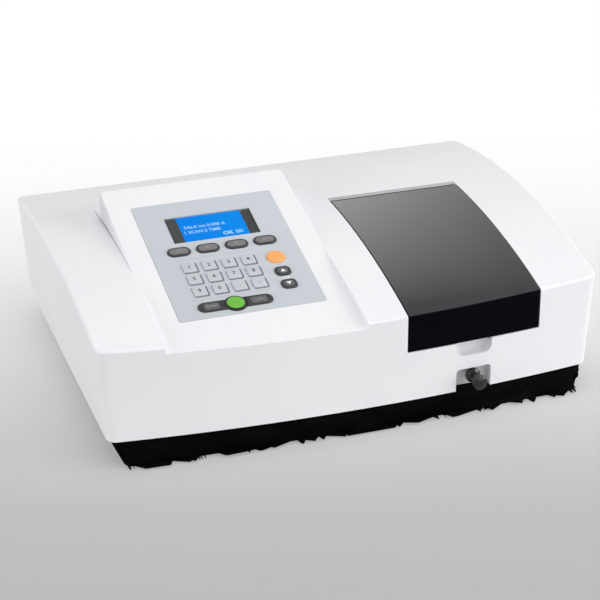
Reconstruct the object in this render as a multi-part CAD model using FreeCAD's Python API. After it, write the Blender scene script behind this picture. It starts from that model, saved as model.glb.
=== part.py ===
# Bench spectrophotometer: curved white cover, tilted console, lidded sample bay, black base.
# Millimetres. X to the right, Y to the back, Z up. The origin lies under the middle of the whole box.
import FreeCAD
import Part
import math
import os

os.makedirs("parts", exist_ok=True)

V = FreeCAD.Vector
ALONG_X = V(1, 0, 0)
ALONG_Y = V(0, 1, 0)
ALONG_Z = V(0, 0, 1)

# Cover
cover_width = 460.0
cover_depth = 328.0           # along the side walls
front_bulge = 15.5            # the front bows out by this much in the middle
cover_bottom = 24.0           # height of the cover's lower edge
front_height = 110.4          # top arc at the front corners
crown_height = 134.8          # top arc at half depth
back_height = 122.6           # top arc at the back
cover_wall = 3.0
side_draft = 6.2              # each side leans in by this much from front_height to the lower edge
front_corner_radius = 9.0
back_corner_radius = 8.0
top_edge_radius = 2.4

# Console, a flat tilted plate that sinks into the arc at the front and stands out of it at the back
left_strip = 58.0             # body left of the console
console_width = 177.0
console_front_z = 104.7       # plate height at the front corner line
console_tilt = 14.04
console_run = 222.5           # from the front corner line back to the plate's rear edge
console_back_slope = 36.0     # the rear wall leans back by this angle
console_edge_radius = 1.6
foot_groove_width = 1.6          # groove at the foot of the console's left wall
foot_groove_depth = 1.2

# Keypad panel on the console, from the plate's left edge and its front line
panel_width = 133.0
panel_length = 168.0
panel_left_margin = 22.2
panel_front_margin = 29.5
panel_thickness = 1.8
panel_proud = 0.25
panel_gap = 0.2
panel_ledge = 3.2
panel_corner_radius = 2.0

# Display
window_width = 81.0
window_height = 38.0
window_corner_radius = 0.8
window_thickness = 1.5
display_thickness = 4.2
display_margin_x = 6.0
display_margin_t = 5.0

# Keys
key_gap = 0.25
key_height = 1.3              # dark and coloured keys above the panel
square_key_height = 1.0
key_flange = 1.3
key_flange_thickness = 1.4
key_travel = 0.8
key_over_travel = 0.2
function_key_size = (21.5, 12.2)
function_key_pitch = 26.75
square_key_size = 12.2
square_key_pitch_x = 18.1
square_key_pitch_t = 16.9
round_key_diameter = 17.0
arrow_key_size = (14.4, 12.4)
arrow_key_pitch = 18.5
bar_key_length = 67.7
bar_key_height = 12.4
board_thickness = 1.6
board_margin = 3.5

# Lid and sample bay
right_strip = 59.6            # body right of the lid
lid_width = 127.8
lid_length = 186.0            # from the front corner line back to the lid's rear edge
lid_wall = 2.5
lid_front_height = 38.4
lid_gap = 0.8
lid_rear_gap = 9.0
well_ledge = 4.3              # lip in front of the well's rear wall, behind the lid
well_ledge_drop = 1.5
lid_edge_radius = 0.8
lid_opening_angle = 105.0
hinge_inset = 5.5             # hinge axis in front of the lid's rear edge
hinge_drop = 7.7              # hinge axis under the lid's top
knuckle_radius = 4.5
hinge_pin_radius = 2.0
hinge_pin_gap = 0.05
ear_width = 6.0
ear_inset = 14.0
deck_thickness = 3.0
deck_drop = 0.7               # the white rim in front of the deck stops this far under the lid
rim_width = 4.0
bay_width = 92.0
bay_length = 150.0
bay_front = 13.0              # inner front wall behind the front corner line
bay_wall = 3.0
bay_floor = 31.0
seal_height = 4.0
seal_width = 4.0
seal_inset = 4.0
finger_notch_width = 34.5
finger_notch_height = 14.3
finger_notch_depth = 9.0
finger_notch_radius = 7.5
finger_notch_inner_radius = 3.8
knob_pocket_width = 34.0
knob_pocket_height = 21.0
knob_pocket_depth = 10.5
knob_pocket_radius = 3.0

# Cell carriage
cell_count = 4
cell_pitch = 20.0
cell_slot = 12.8
cell_floor_z = 40.0
cell_block_height = 66.0
cell_block_width = 22.0
carriage_wing = 19.0
carriage_base_z = 33.0
beam_above_cell_floor = 15.0
beam_window = (8.0, 14.0)
rail_radius = 2.5
rail_spread = 24.0
slide_gap = 0.06
rod_radius = 3.0
rod_height = 36.5
knob_reach = 17.0             # the knob's front beyond the cover's front face
knob_flange_radius = 6.8
knob_head_radius = 6.6
knob_waist_radius = 4.4
knob_length = 20.6

# Base
base_bottom = 1.5
base_floor = 3.0
base_wall = 3.0
base_inset = 2.5              # base under the cover's edge
base_side_lean = 10.3         # each end leans in by this much towards the bottom
base_front_bow = 4.0          # the bottom front edge is nearly straight
base_front_setback = 9.5      # and stands this far behind the middle of the bowed front
base_rear_lean = 3.0
base_corner_radius = 8.0
lip_height = 8.0
lip_gap = 0.5
lip_wall = 2.0
foot_radius = 11.0
foot_height = 4.4
foot_inset_x = 45.0
foot_inset_y = 34.0
screw_inset_x = 25.0
screw_inset_y = 30.0
screw_radius = 2.0
screw_head_radius = 3.8
screw_head_height = 2.4
boss_radius = 4.6
fit_gap = 0.1

# Optical bench and what stands on it
bench_top = 28.0
bench_thickness = 8.0
hood_wall = 2.0
power_supply_width = 43.3
power_supply_inset = 24.0       # from the cover's side
power_supply_gap = 4.0
bench_margin = 6.0              # bench left of the monochromator hood
mono_width = 205.0
mono_top = 80.0
mono_front = 45.0
entrance_offset = 142.0       # entrance slit behind the exit slit
lamp_house_width = 136.0
lamp_house_top = 96.0
motor_radius = 12.0
motor_length = 11.5
shaft_radius = 2.0
shaft_gap = 0.05
filter_wheel_radius = 25.0
filter_ring_radius = 17.0

# Rear panel
rear_panel_thickness = 1.5
rear_opening_margin = 24.0
rear_opening_bottom = 34.0
rear_opening_top = 104.0
fan_size = 60.0
fan_depth = 15.0
vent_slot_width = 3.0

# Places that follow from the driving sizes
bow_radius = (front_bulge ** 2 + (cover_width / 2) ** 2) / (2 * front_bulge)
lid_right = cover_width / 2 - right_strip
lid_left = lid_right - lid_width
bay_x = (lid_left + lid_right) / 2


def bow(x):
    # how far the front stands before its corner line at x
    return math.sqrt(bow_radius ** 2 - x ** 2) - (bow_radius - front_bulge)


knob_total = bow(bay_x) + knob_reach
front = (knob_total - cover_depth) / 2
back = front + cover_depth


def circle_through(p, q, r):
    # centre and radius of the circle through three points of a plane
    d = 2 * (p[0] * (q[1] - r[1]) + q[0] * (r[1] - p[1]) + r[0] * (p[1] - q[1]))
    p2 = p[0] ** 2 + p[1] ** 2
    q2 = q[0] ** 2 + q[1] ** 2
    r2 = r[0] ** 2 + r[1] ** 2
    cu = (p2 * (q[1] - r[1]) + q2 * (r[1] - p[1]) + r2 * (p[1] - q[1])) / d
    cv = (p2 * (r[0] - q[0]) + q2 * (p[0] - r[0]) + r2 * (q[0] - p[0])) / d
    return cu, cv, math.hypot(p[0] - cu, p[1] - cv)


arc_y, arc_z, arc_radius = circle_through(
    (front, front_height), ((front + back) / 2, crown_height), (back, back_height))


def top_at(y, inset=0.0):
    # height of the cover's top arc at y
    return arc_z + math.sqrt((arc_radius - inset) ** 2 - (y - arc_y) ** 2)


tilt_tan = math.tan(math.radians(console_tilt))
tilt_cos = math.cos(math.radians(console_tilt))
console_left = -cover_width / 2 + left_strip
console_right = console_left + console_width
console_back = front + console_run


def plate_at(y, inset=0.0):
    # height of the console plate at y
    return console_front_z + (y - front) * tilt_tan - inset / tilt_cos


console_frame = FreeCAD.Placement(V(0, front, console_front_z), FreeCAD.Rotation(ALONG_X, console_tilt))

lid_back = front + lid_length
well_back = lid_back + lid_rear_gap
lid_bottom = front_height - lid_front_height
rim_top = lid_bottom - deck_drop
deck_top = rim_top - 0.3
well_floor = deck_top - deck_thickness
hinge_y = lid_back - hinge_inset
hinge_z = top_at(lid_back) - hinge_drop
bay_left = bay_x - bay_width / 2
bay_right = bay_x + bay_width / 2
bay_front_y = front + bay_front
bay_back_y = bay_front_y + bay_length
seal_top = deck_top + seal_height
carriage_travel = (cell_count - 1) * cell_pitch
beam_y = (bay_front_y + bay_back_y) / 2
beam_z = cell_floor_z + beam_above_cell_floor
block_front = beam_y - cell_pitch / 2
block_back = block_front + cell_count * cell_pitch
face_y = front - bow(bay_x)
floor_top = base_bottom + base_floor
bench_bottom = bench_top - bench_thickness
mono_right = lid_left - lid_gap - cover_wall - 1.5
mono_left = -cover_width / 2 + power_supply_inset + power_supply_width + power_supply_gap + bench_margin
mono_front_y = front + mono_front
mono_back_y = mono_front_y + mono_width
slit_y = beam_y + entrance_offset
rear_panel_y = back - cover_wall - 0.7 - rear_panel_thickness


def save(name, shape):
    # one STEP file for each sub-part
    shape.exportStep("parts/" + name + ".step")
    print(name, len(shape.Solids), round(shape.Volume, 1), shape.isValid())


def box(x0, x1, y0, y1, z0, z1):
    return Part.makeBox(x1 - x0, y1 - y0, z1 - z0, V(x0, y0, z0))


def cylinder(radius, start, length, direction=ALONG_Z):
    return Part.makeCylinder(radius, length, start, direction)


def fuse(shapes):
    return shapes[0].multiFuse(shapes[1:]).removeSplitter()


def cut(shape, tools):
    return shape.cut(Part.makeCompound(tools)) if tools else shape


def rounded_face(width, height, radius, x=0.0, t=0.0):
    # rectangle with round corners, in the XY plane
    radius = min(radius, width / 2, height / 2)
    half_w = width / 2 - radius
    half_h = height / 2 - radius
    turn = math.sqrt(0.5) * radius
    corners = [(1, 1), (-1, 1), (-1, -1), (1, -1)]
    arcs = []
    for k, (sx, st) in enumerate(corners):
        centre = V(x + sx * half_w, t + st * half_h, 0)
        ends = [V(sx * radius, 0, 0), V(0, st * radius, 0)]
        if k % 2:
            ends.reverse()
        arcs.append(Part.Arc(centre + ends[0], centre + V(sx * turn, st * turn, 0), centre + ends[1]).toShape())
    edges = []
    for k, arc in enumerate(arcs):
        edges.append(arc)
        start = arc.lastVertex(True).Point
        end = arcs[(k + 1) % 4].firstVertex(True).Point
        if start.distanceToPoint(end) > 1e-6:
            edges.append(Part.makeLine(start, end))
    return Part.Face(Part.Wire(Part.__sortEdges__(edges)))


def rounded_prism(width, height, radius, x, t, low, high):
    face = rounded_face(width, height, radius, x, t)
    face.translate(V(0, 0, low))
    return face.extrude(V(0, 0, high - low))


def edges_of(shape, test):
    return [e for e in shape.Edges if test(e)]


def is_vertical(edge):
    a = edge.firstVertex().Point
    b = edge.lastVertex().Point
    return abs(a.z - b.z) > 10 and math.hypot(a.x - b.x, a.y - b.y) < 0.2 * abs(a.z - b.z)


def plan_prism(inset, low, high):
    # straight sided block with the bowed front, wider than the cover
    radius = bow_radius - inset
    middle = front - front_bulge + bow_radius
    half = cover_width / 2 + 12
    side_y = middle - math.sqrt(radius ** 2 - half ** 2)
    rear_y = back - inset
    arc = Part.Arc(V(-half, side_y, low), V(0, middle - radius, low), V(half, side_y, low)).toShape()
    right = Part.makeLine(V(half, side_y, low), V(half, rear_y, low))
    rear = Part.makeLine(V(half, rear_y, low), V(-half, rear_y, low))
    left = Part.makeLine(V(-half, rear_y, low), V(-half, side_y, low))
    return Part.Face(Part.Wire([arc, right, rear, left])).extrude(V(0, 0, high - low))


def leaning_sides(inset, low, high, half_at_base, lean_per_mm, base_z):
    # block whose two ends lean, as long as needed along Y
    reach = cover_depth

    def half(z):
        return half_at_base + (z - base_z) * lean_per_mm - inset

    corners = [V(-half(low), -reach, low), V(half(low), -reach, low),
               V(half(high), -reach, high), V(-half(high), -reach, high)]
    return Part.Face(Part.makePolygon(corners + corners[:1])).extrude(V(0, 2 * reach, 0))


def arc_prism(inset, low):
    # block under the top arc, wider than the cover
    radius = arc_radius - inset
    y0 = front - front_bulge - 6
    y1 = back + 6
    reach = cover_width / 2 + 20

    def point(y):
        return V(-reach, y, arc_z + math.sqrt(radius ** 2 - (y - arc_y) ** 2))

    arc = Part.Arc(point(y1), point((y0 + y1) / 2), point(y0)).toShape()
    down = Part.makeLine(point(y0), V(-reach, y0, low))
    floor = Part.makeLine(V(-reach, y0, low), V(-reach, y1, low))
    up = Part.makeLine(V(-reach, y1, low), point(y1))
    return Part.Face(Part.Wire([arc, down, floor, up])).extrude(V(2 * reach, 0, 0))


def cover_block(inset, low, rounded=True):
    # the cover's outline as one solid, moved in by inset all round
    high = crown_height + 20
    lean = side_draft / (front_height - cover_bottom)
    sides = leaning_sides(inset, low, high, cover_width / 2, lean, front_height)
    block = plan_prism(inset, low, high).common(sides)
    if rounded:
        fronts = edges_of(block, lambda e: is_vertical(e) and e.CenterOfMass.y < 0)
        block = block.makeFillet(front_corner_radius - inset, fronts)
        backs = edges_of(block, lambda e: is_vertical(e) and e.CenterOfMass.y > back - inset - 1)
        block = block.makeFillet(back_corner_radius - inset, backs)
    return block.common(arc_prism(inset, low))


def with_round_top(block):
    # rounds the edge between the walls and the top arc
    def on_top(edge):
        points = [edge.valueAt(edge.FirstParameter + f * (edge.LastParameter - edge.FirstParameter))
                  for f in (0.1, 0.5, 0.9)]
        return all(abs(p.z - top_at(p.y)) < 0.05 for p in points)

    return block.makeFillet(top_edge_radius, edges_of(block, on_top))


def console_pocket(inset):
    # everything above the console plate, between its side walls
    y0 = front - front_bulge - 20
    y1 = back
    x0 = console_left - inset
    corners = [V(x0, y0, plate_at(y0, inset)), V(x0, y1, plate_at(y1, inset)),
               V(x0, y1, 400), V(x0, y0, 400)]
    return Part.Face(Part.makePolygon(corners + corners[:1])).extrude(V(console_width + 2 * inset, 0, 0))


def console_wedge(inset):
    # the part of the console that stands out of the arc
    low = front_height - 8
    y0 = front + 30
    y1 = console_back - inset
    lean = math.tan(math.radians(console_back_slope))
    high = plate_at(y1, inset)
    x0 = console_left + inset
    corners = [V(x0, y0, low), V(x0, y0, plate_at(y0, inset)), V(x0, y1, high), V(x0, y1 + (high - low) * lean, low)]
    wedge = Part.Face(Part.makePolygon(corners + corners[:1])).extrude(V(console_width - 2 * inset, 0, 0))
    if inset:
        return wedge

    def rear_corner(edge):
        p = edge.CenterOfMass
        return p.y > y1 and low + 1 < p.z < high - 1 and edge.Length > 10

    wedge = wedge.makeFillet(5.0, edges_of(wedge, rear_corner))

    def plate_rim(edge):
        p = edge.CenterOfMass
        ends = [v.Point for v in edge.Vertexes]
        flat = all(abs(q.z - plate_at(q.y)) < 0.01 for q in ends)
        return flat and p.y > y0 + 1

    return wedge.makeFillet(console_edge_radius, edges_of(wedge, plate_rim))


def lid_box(low, side=0.0, rear=0.0):
    return box(lid_left - side, lid_right + side, front - 40, lid_back + rear, low, 300)


panel_x = console_left + panel_left_margin + panel_width / 2
panel_t = panel_front_margin + panel_length / 2
display_x = panel_x - 0.9
display_t = 156.0
function_row_t = 124.0
square_first_x = panel_x - 38.4
square_first_t = 100.0
right_column_x = panel_x + 41.2
round_key_t = 98.0
arrow_up_t = 77.2
bar_x = panel_x - 12.6
bar_t = 43.4


def key_layout():
    # name, kind, x and distance up the plate of each key
    keys = []
    for k in range(4):
        x = display_x + (k - 1.5) * function_key_pitch
        keys.append(("function_key_%d" % (k + 1), "function", x, function_row_t))
    number = 1
    for row in range(3):
        for column in range(4):
            x = square_first_x + column * square_key_pitch_x
            t = square_first_t - row * square_key_pitch_t
            keys.append(("square_key_%02d" % number, "square", x, t))
            number += 1
    keys.append(("stop_key", "round", right_column_x, round_key_t))
    keys.append(("up_key", "arrow", right_column_x, arrow_up_t))
    keys.append(("down_key", "arrow", right_column_x, arrow_up_t - arrow_key_pitch))
    keys.append(("start_key", "round", bar_x, bar_t))
    keys.append(("return_key", "bar_left", bar_x, bar_t))
    keys.append(("enter_key", "bar_right", bar_x, bar_t))
    return keys


def key_outline(kind, x, t, grow, low, high):
    # outline of one key, grown on all sides, as a prism on the plate
    if kind == "function":
        w, h = function_key_size
        return rounded_prism(w + 2 * grow, h + 2 * grow, h / 2 + grow, x, t, low, high)
    if kind == "square":
        w = square_key_size + 2 * grow
        return rounded_prism(w, w, 1.4 + grow, x, t, low, high)
    if kind == "round":
        return cylinder(round_key_diameter / 2 + grow, V(x, t, low), high - low)
    if kind == "arrow":
        w, h = arrow_key_size
        return rounded_prism(w + 2 * grow, h + 2 * grow, 4.6 + grow, x, t, low, high)
    side = -1 if kind == "bar_left" else 1
    pill = rounded_prism(bar_key_length + 2 * grow, bar_key_height + 2 * grow, bar_key_height / 2 + grow,
                         x, t, low, high)
    hole = cylinder(round_key_diameter / 2 + 2.0 - grow, V(x, t, low - 1), high - low + 2)
    reach = bar_key_length
    half = box(min(0, side * reach), max(0, side * reach), -reach, reach, low - 1, high + 1)
    half.translate(V(x, t, 0))
    return pill.common(half).cut(hole)


def on_console(shape):
    shape.Placement = console_frame.multiply(shape.Placement)
    return shape


def make_cover():
    outer = with_round_top(cover_block(0, cover_bottom))
    outer = outer.cut(console_pocket(0)).fuse(console_wedge(0))
    inner = cover_block(cover_wall, cover_bottom - 1)
    inner = inner.cut(console_pocket(cover_wall)).fuse(console_wedge(cover_wall))
    shell = outer.cut(inner)
    sharp = cover_block(0, cover_bottom, rounded=False).common(outer)

    side = lid_gap + cover_wall
    well_walls = box(lid_left - side, lid_right + side, front - 40, well_back + cover_wall,
                     well_floor - cover_wall, 300).common(sharp)
    notch_back = face_y + finger_notch_depth + cover_wall
    notch_low = lid_bottom - finger_notch_height - cover_wall
    half_notch = finger_notch_width / 2 + cover_wall
    notch_body = box(bay_x - half_notch, bay_x + half_notch, front - 40, notch_back, notch_low, lid_bottom)
    half_pocket = knob_pocket_width / 2 + cover_wall
    pocket_back = face_y + knob_pocket_depth + cover_wall
    pocket_body = box(bay_x - half_pocket, bay_x + half_pocket, front - 40, pocket_back,
                      cover_bottom, cover_bottom + knob_pocket_height + cover_wall)
    shell = fuse([shell, well_walls, notch_body.common(sharp), pocket_body.common(sharp)] + cover_bosses(sharp))
    shell = fuse([shell] + hinge_ears())

    side = lid_gap
    upper_well = box(lid_left - side, lid_right + side, front - 40, well_back, rim_top, 300)
    lower_well = box(lid_left - side, lid_right + side, front - 40, well_back, well_floor, 300)
    ears = Part.makeCompound(hinge_ears())
    upper_well = upper_well.cut(ears)
    lower_well = lower_well.common(cover_block(rim_width, well_floor - 1, rounded=False)).cut(ears)
    mouth_gap = 0.5
    mouth = box(bay_left - bay_wall - mouth_gap, bay_right + bay_wall + mouth_gap,
                bay_front_y - bay_wall - mouth_gap, bay_back_y + bay_wall + mouth_gap,
                well_floor - cover_wall - 1, well_floor + 1)
    tools = [upper_well, lower_well, mouth, finger_notch(), knob_pocket(), rod_hole(), rear_opening()]
    tools.append(panel_recess())
    tools.append(panel_opening())
    tools.append(foot_groove())
    tools.extend(screw_holes(cover_bottom - 20, cover_bottom + 18))
    tools.append(cylinder(hinge_pin_radius, V(lid_left, hinge_y, hinge_z), lid_width, ALONG_X))
    shell = cut(shell, tools)
    return fuse([shell, rear_ledge()] + board_posts())


def foot_groove():
    # narrow groove at the foot of the console's left wall, fading out where the wall ends
    meet = front + 100
    end = console_back + (plate_at(console_back) - top_at(console_back)) * math.tan(math.radians(console_back_slope))
    low = front_height - 10
    corners = [V(console_left, meet, low), V(console_left, end, low), V(console_left - foot_groove_width, end, low)]
    wedge = Part.Face(Part.makePolygon(corners + corners[:1])).extrude(V(0, 0, 60))
    return wedge.cut(arc_prism(foot_groove_depth, low - 5))


def rear_ledge():
    # sloping lip that closes most of the gap behind the lid, clear of the lid's swing
    z = top_at(well_back)
    y = well_back - well_ledge
    profile = [(well_back + 1, z - 0.3), (well_back, z), (y, z - well_ledge_drop), (y, z - 4.0),
               (well_back, z - 8.5), (well_back + 1, z - 8.5)]
    corners = [V(lid_left - lid_gap - 1, a, b) for a, b in profile]
    return Part.Face(Part.makePolygon(corners + corners[:1])).extrude(V(lid_width + 2 * lid_gap + 2, 0, 0))


def finger_notch():
    # scoop under the lid's front edge, round at its lower corners
    low = lid_bottom - finger_notch_height
    depth = finger_notch_depth
    block = box(bay_x - finger_notch_width / 2, bay_x + finger_notch_width / 2, face_y - 20, face_y + depth,
                low, lid_bottom + 5)

    def lower_corner(edge):
        p = edge.CenterOfMass
        return p.z < low + 0.1 and abs(abs(p.x - bay_x) - finger_notch_width / 2) < 0.1

    block = block.makeFillet(finger_notch_radius, edges_of(block, lower_corner))

    def inner_rim(edge):
        p = edge.CenterOfMass
        return abs(p.y - face_y - depth) < 0.1 and p.z < lid_bottom + 2

    return block.makeFillet(finger_notch_inner_radius, edges_of(block, inner_rim))


def knob_pocket():
    # recess in the lower front edge where the pull knob stands
    high = cover_bottom + knob_pocket_height
    block = box(bay_x - knob_pocket_width / 2, bay_x + knob_pocket_width / 2, face_y - 20,
                face_y + knob_pocket_depth, cover_bottom - 1, high)

    def upper_corner(edge):
        p = edge.CenterOfMass
        return p.z > high - 0.1 and abs(abs(p.x - bay_x) - knob_pocket_width / 2) < 0.1

    return block.makeFillet(knob_pocket_radius, edges_of(block, upper_corner))


def rod_hole():
    return cylinder(rod_radius + slide_gap, V(bay_x, face_y, rod_height), 40, ALONG_Y)


def rear_opening():
    half = cover_width / 2 - rear_opening_margin
    block = box(-half, half, back - cover_wall - 2, back + 2, rear_opening_bottom, rear_opening_top)
    corners = edges_of(block, lambda e: abs(e.Vertexes[0].Point.y - e.Vertexes[-1].Point.y) > 3)
    return block.makeFillet(6.0, corners)


def panel_recess():
    depth = panel_thickness - panel_proud
    return on_console(rounded_prism(panel_width + 2 * panel_gap, panel_length + 2 * panel_gap,
                                    panel_corner_radius + panel_gap, panel_x, panel_t, -depth, 4))


def panel_opening():
    return on_console(rounded_prism(panel_width - 2 * panel_ledge, panel_length - 2 * panel_ledge,
                                    panel_corner_radius, panel_x, panel_t, -cover_wall - 2, 1))


panel_under = panel_proud - panel_thickness
flange_low = panel_under - fit_gap - key_flange_thickness
stem_low = flange_low - 2.0
board_top = stem_low - key_travel - key_over_travel


def board_posts():
    # posts under the plate that carry the keypad board
    posts = []
    dx = panel_width / 2 + board_margin - 3.6
    dt = panel_length / 2 + board_margin - 3.6
    for sx in (-1, 1):
        for st in (-1, 1):
            centre = V(panel_x + sx * dx, panel_t + st * dt, board_top)
            posts.append(on_console(cylinder(3.0, centre, -cover_wall + 0.5 - board_top)))
    return posts


def screw_places():
    places = []
    for sx in (-1, 1):
        for y in (front + screw_inset_y, (front + back) / 2, back - screw_inset_y):
            places.append((sx * (cover_width / 2 - screw_inset_x), y))
    return places


def screw_holes(low, high):
    return [cylinder(screw_radius, V(x, y, low), high - low) for x, y in screw_places()]


def cover_bosses(inside):
    # screw bosses inside the long walls, each tied to its wall by a rib
    shapes = []
    low = floor_top + 4.0
    for x, y in screw_places():
        boss = cylinder(boss_radius, V(x, y, low), cover_bottom + 24 - low)
        wall_x = math.copysign(cover_width / 2, x)
        rib = box(min(x, wall_x), max(x, wall_x), y - 1.2, y + 1.2,
                  cover_bottom + lip_height + 1, cover_bottom + 24).common(inside)
        shapes.append(fuse([boss, rib]))
    return shapes


def ear_spans():
    # X range of each hinge ear on the cover
    left = lid_left + ear_inset
    right = lid_right - ear_inset - ear_width
    return [(left, left + ear_width), (right, right + ear_width)]


def lug_spans():
    # X range of each hinge lug under the lid, inboard of the ears
    gap = 0.4
    left = lid_left + ear_inset + ear_width + gap
    right = lid_right - ear_inset - ear_width - gap
    return [(left, left + ear_width), (right - ear_width, right)]


def hinge_ears():
    ears = []
    arm_top = hinge_z - 17
    for x0, x1 in ear_spans():
        knuckle = cylinder(knuckle_radius, V(x0, hinge_y, hinge_z), x1 - x0, ALONG_X)
        post = box(x0, x1, hinge_y - knuckle_radius, hinge_y + 1, arm_top - 10, hinge_z)
        arm = box(x0, x1, hinge_y - knuckle_radius, well_back + 1, arm_top - 10, arm_top)
        ears.append(fuse([knuckle, post, arm]))
    return ears


def make_hinge_pins():
    pins = []
    for ear, lug in zip(ear_spans(), lug_spans()):
        x0 = min(ear[0], lug[0])
        x1 = max(ear[1], lug[1])
        pins.append(cylinder(hinge_pin_radius, V(x0, hinge_y, hinge_z), x1 - x0, ALONG_X))
    return Part.makeCompound(pins)


def make_lid():
    block = cover_block(0, cover_bottom, rounded=False)
    outer = block.common(lid_box(lid_bottom))

    def shown(edge):
        p = edge.CenterOfMass
        return p.z > lid_bottom + 1

    outer = outer.makeFillet(lid_edge_radius, edges_of(outer, shown))
    hollow = cover_block(lid_wall, cover_bottom, rounded=False)
    inner = hollow.common(lid_box(lid_bottom - 1, side=-lid_wall, rear=5))
    skin = outer.cut(inner)

    chamfer = [V(lid_left - 5, lid_back + 5, lid_bottom - 1), V(lid_left - 5, lid_back - 34, lid_bottom - 1),
               V(lid_left - 5, lid_back + 5, lid_bottom + 45)]
    corner = Part.Face(Part.makePolygon(chamfer + chamfer[:1])).extrude(V(lid_width + 10, 0, 0))
    skin = skin.cut(corner)

    rib_low = seal_top + 0.3
    backed = cover_block(lid_wall - 0.5, cover_bottom, rounded=False)
    x0 = bay_left - seal_inset
    x1 = bay_right + seal_inset
    y0 = bay_front_y - seal_inset
    y1 = bay_back_y + seal_inset
    frame = box(x0, x1, y0, y1, rib_low, 300).cut(box(x0 + 2, x1 - 2, y0 + 2, y1 - 2, rib_low - 1, 301))
    rib = frame.common(backed)

    lugs = []
    for a, b in lug_spans():
        knuckle = cylinder(knuckle_radius, V(a, hinge_y, hinge_z), b - a, ALONG_X)
        web = box(a, b, hinge_y - knuckle_radius, hinge_y + knuckle_radius - 0.5, hinge_z, 300)
        lugs.append(fuse([knuckle, web.common(backed)]))
    lid = fuse([skin, rib] + lugs)
    return lid.cut(cylinder(hinge_pin_radius + hinge_pin_gap, V(lid_left + ear_inset, hinge_y, hinge_z),
                            lid_width - 2 * ear_inset, ALONG_X))


def make_sample_chamber():
    # black tub with a deck that fills the floor of the well
    gap = 0.3
    deck = box(lid_left - lid_gap + gap, lid_right + lid_gap - gap, front - 40, well_back - gap,
               well_floor, deck_top)
    deck = deck.common(cover_block(rim_width + gap, cover_bottom, rounded=False))
    deck = deck.cut(finger_scoop_clearance())
    tub = box(bay_left - bay_wall, bay_right + bay_wall, bay_front_y - bay_wall, bay_back_y + bay_wall,
              bench_top, deck_top)
    hollow = box(bay_left, bay_right, bay_front_y, bay_back_y, bay_floor, deck_top + 1)
    upright = edges_of(hollow, is_vertical)
    hollow = hollow.makeFillet(4.0, upright)
    tools = [hollow]
    tools.append(cylinder(rod_radius + slide_gap, V(bay_x, bay_front_y - 10, rod_height), 12, ALONG_Y))
    for sx in (-1, 1):
        x = bay_x + sx * rail_spread
        tools.append(cylinder(rail_radius, V(x, bay_front_y - 2, rod_height), bay_length + 4, ALONG_Y))
    tools.append(cylinder(lens_radius + 0.05, V(bay_left - 10, beam_y, beam_z), bay_width + 20, ALONG_X))
    return cut(fuse([deck, tub]), tools)


def finger_scoop_clearance():
    grow = cover_wall + 0.3
    return box(bay_x - finger_notch_width / 2 - grow, bay_x + finger_notch_width / 2 + grow, front - 40,
               face_y + finger_notch_depth + grow, well_floor - 1, deck_top + 1)


lens_radius = 8.0


def make_chamber_lenses():
    lenses = []
    for x0 in (bay_left - bay_wall, bay_right):
        disc = cylinder(lens_radius, V(x0, beam_y, beam_z), bay_wall, ALONG_X)
        ball_radius = 40.0
        ball = Part.makeSphere(ball_radius, V(x0 + bay_wall / 2, beam_y, beam_z))
        lenses.append(disc.common(ball))
    return Part.makeCompound(lenses)


def make_seal():
    x0 = bay_left - seal_inset - 1
    x1 = bay_right + seal_inset + 1
    y0 = bay_front_y - seal_inset - 1
    y1 = bay_back_y + seal_inset + 1
    outer = box(x0, x1, y0, y1, deck_top, seal_top)
    outer = outer.makeFillet(3.0, [e for e in outer.Edges if abs(e.Vertexes[0].Z - e.Vertexes[-1].Z) > 1])
    inner = box(x0 + seal_width, x1 - seal_width, y0 + seal_width, y1 - seal_width, deck_top - 1, seal_top + 1)
    return outer.cut(inner)


def make_carriage():
    half = cell_block_width / 2
    block = box(bay_x - half, bay_x + half, block_front, block_back, carriage_base_z, cell_block_height)
    wing_reach = rail_spread + rail_radius + 4
    wing = box(bay_x - wing_reach, bay_x + wing_reach, block_front, block_back, carriage_base_z, cell_floor_z)
    tools = []
    for k in range(cell_count):
        y = block_front + (k + 0.5) * cell_pitch
        slot = cell_slot / 2
        tools.append(box(bay_x - slot, bay_x + slot, y - slot, y + slot, cell_floor_z, cell_block_height + 1))
        w, h = beam_window
        tools.append(box(bay_x - half - 1, bay_x + half + 1, y - w / 2, y + w / 2, beam_z - h / 2, beam_z + h / 2))
        tools.append(box(bay_x - slot - 2, bay_x + slot + 2, y - 2, y + 2, cell_block_height - 12,
                         cell_block_height + 1))
        notch = cylinder(1.5, V(bay_x + wing_reach, y, carriage_base_z - 1), 12)
        tools.append(notch)
    for sx in (-1, 1):
        tools.append(cylinder(rail_radius + slide_gap, V(bay_x + sx * rail_spread, block_front - 1, rod_height),
                              block_back - block_front + 2, ALONG_Y))
    tools.append(cylinder(rod_radius, V(bay_x, block_front - 1, rod_height), 9, ALONG_Y))
    return cut(fuse([block, wing]), tools)


def make_rails():
    rails = []
    for sx in (-1, 1):
        x = bay_x + sx * rail_spread
        rails.append(cylinder(rail_radius, V(x, bay_front_y - 2, rod_height), bay_length + 4, ALONG_Y))
    return Part.makeCompound(rails)


knob_front_y = face_y - knob_reach
knob_back_y = knob_front_y + knob_length


def make_pull_rod():
    start = knob_front_y + 6
    return cylinder(rod_radius, V(bay_x, start, rod_height), block_front + 8 - start, ALONG_Y)


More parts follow.
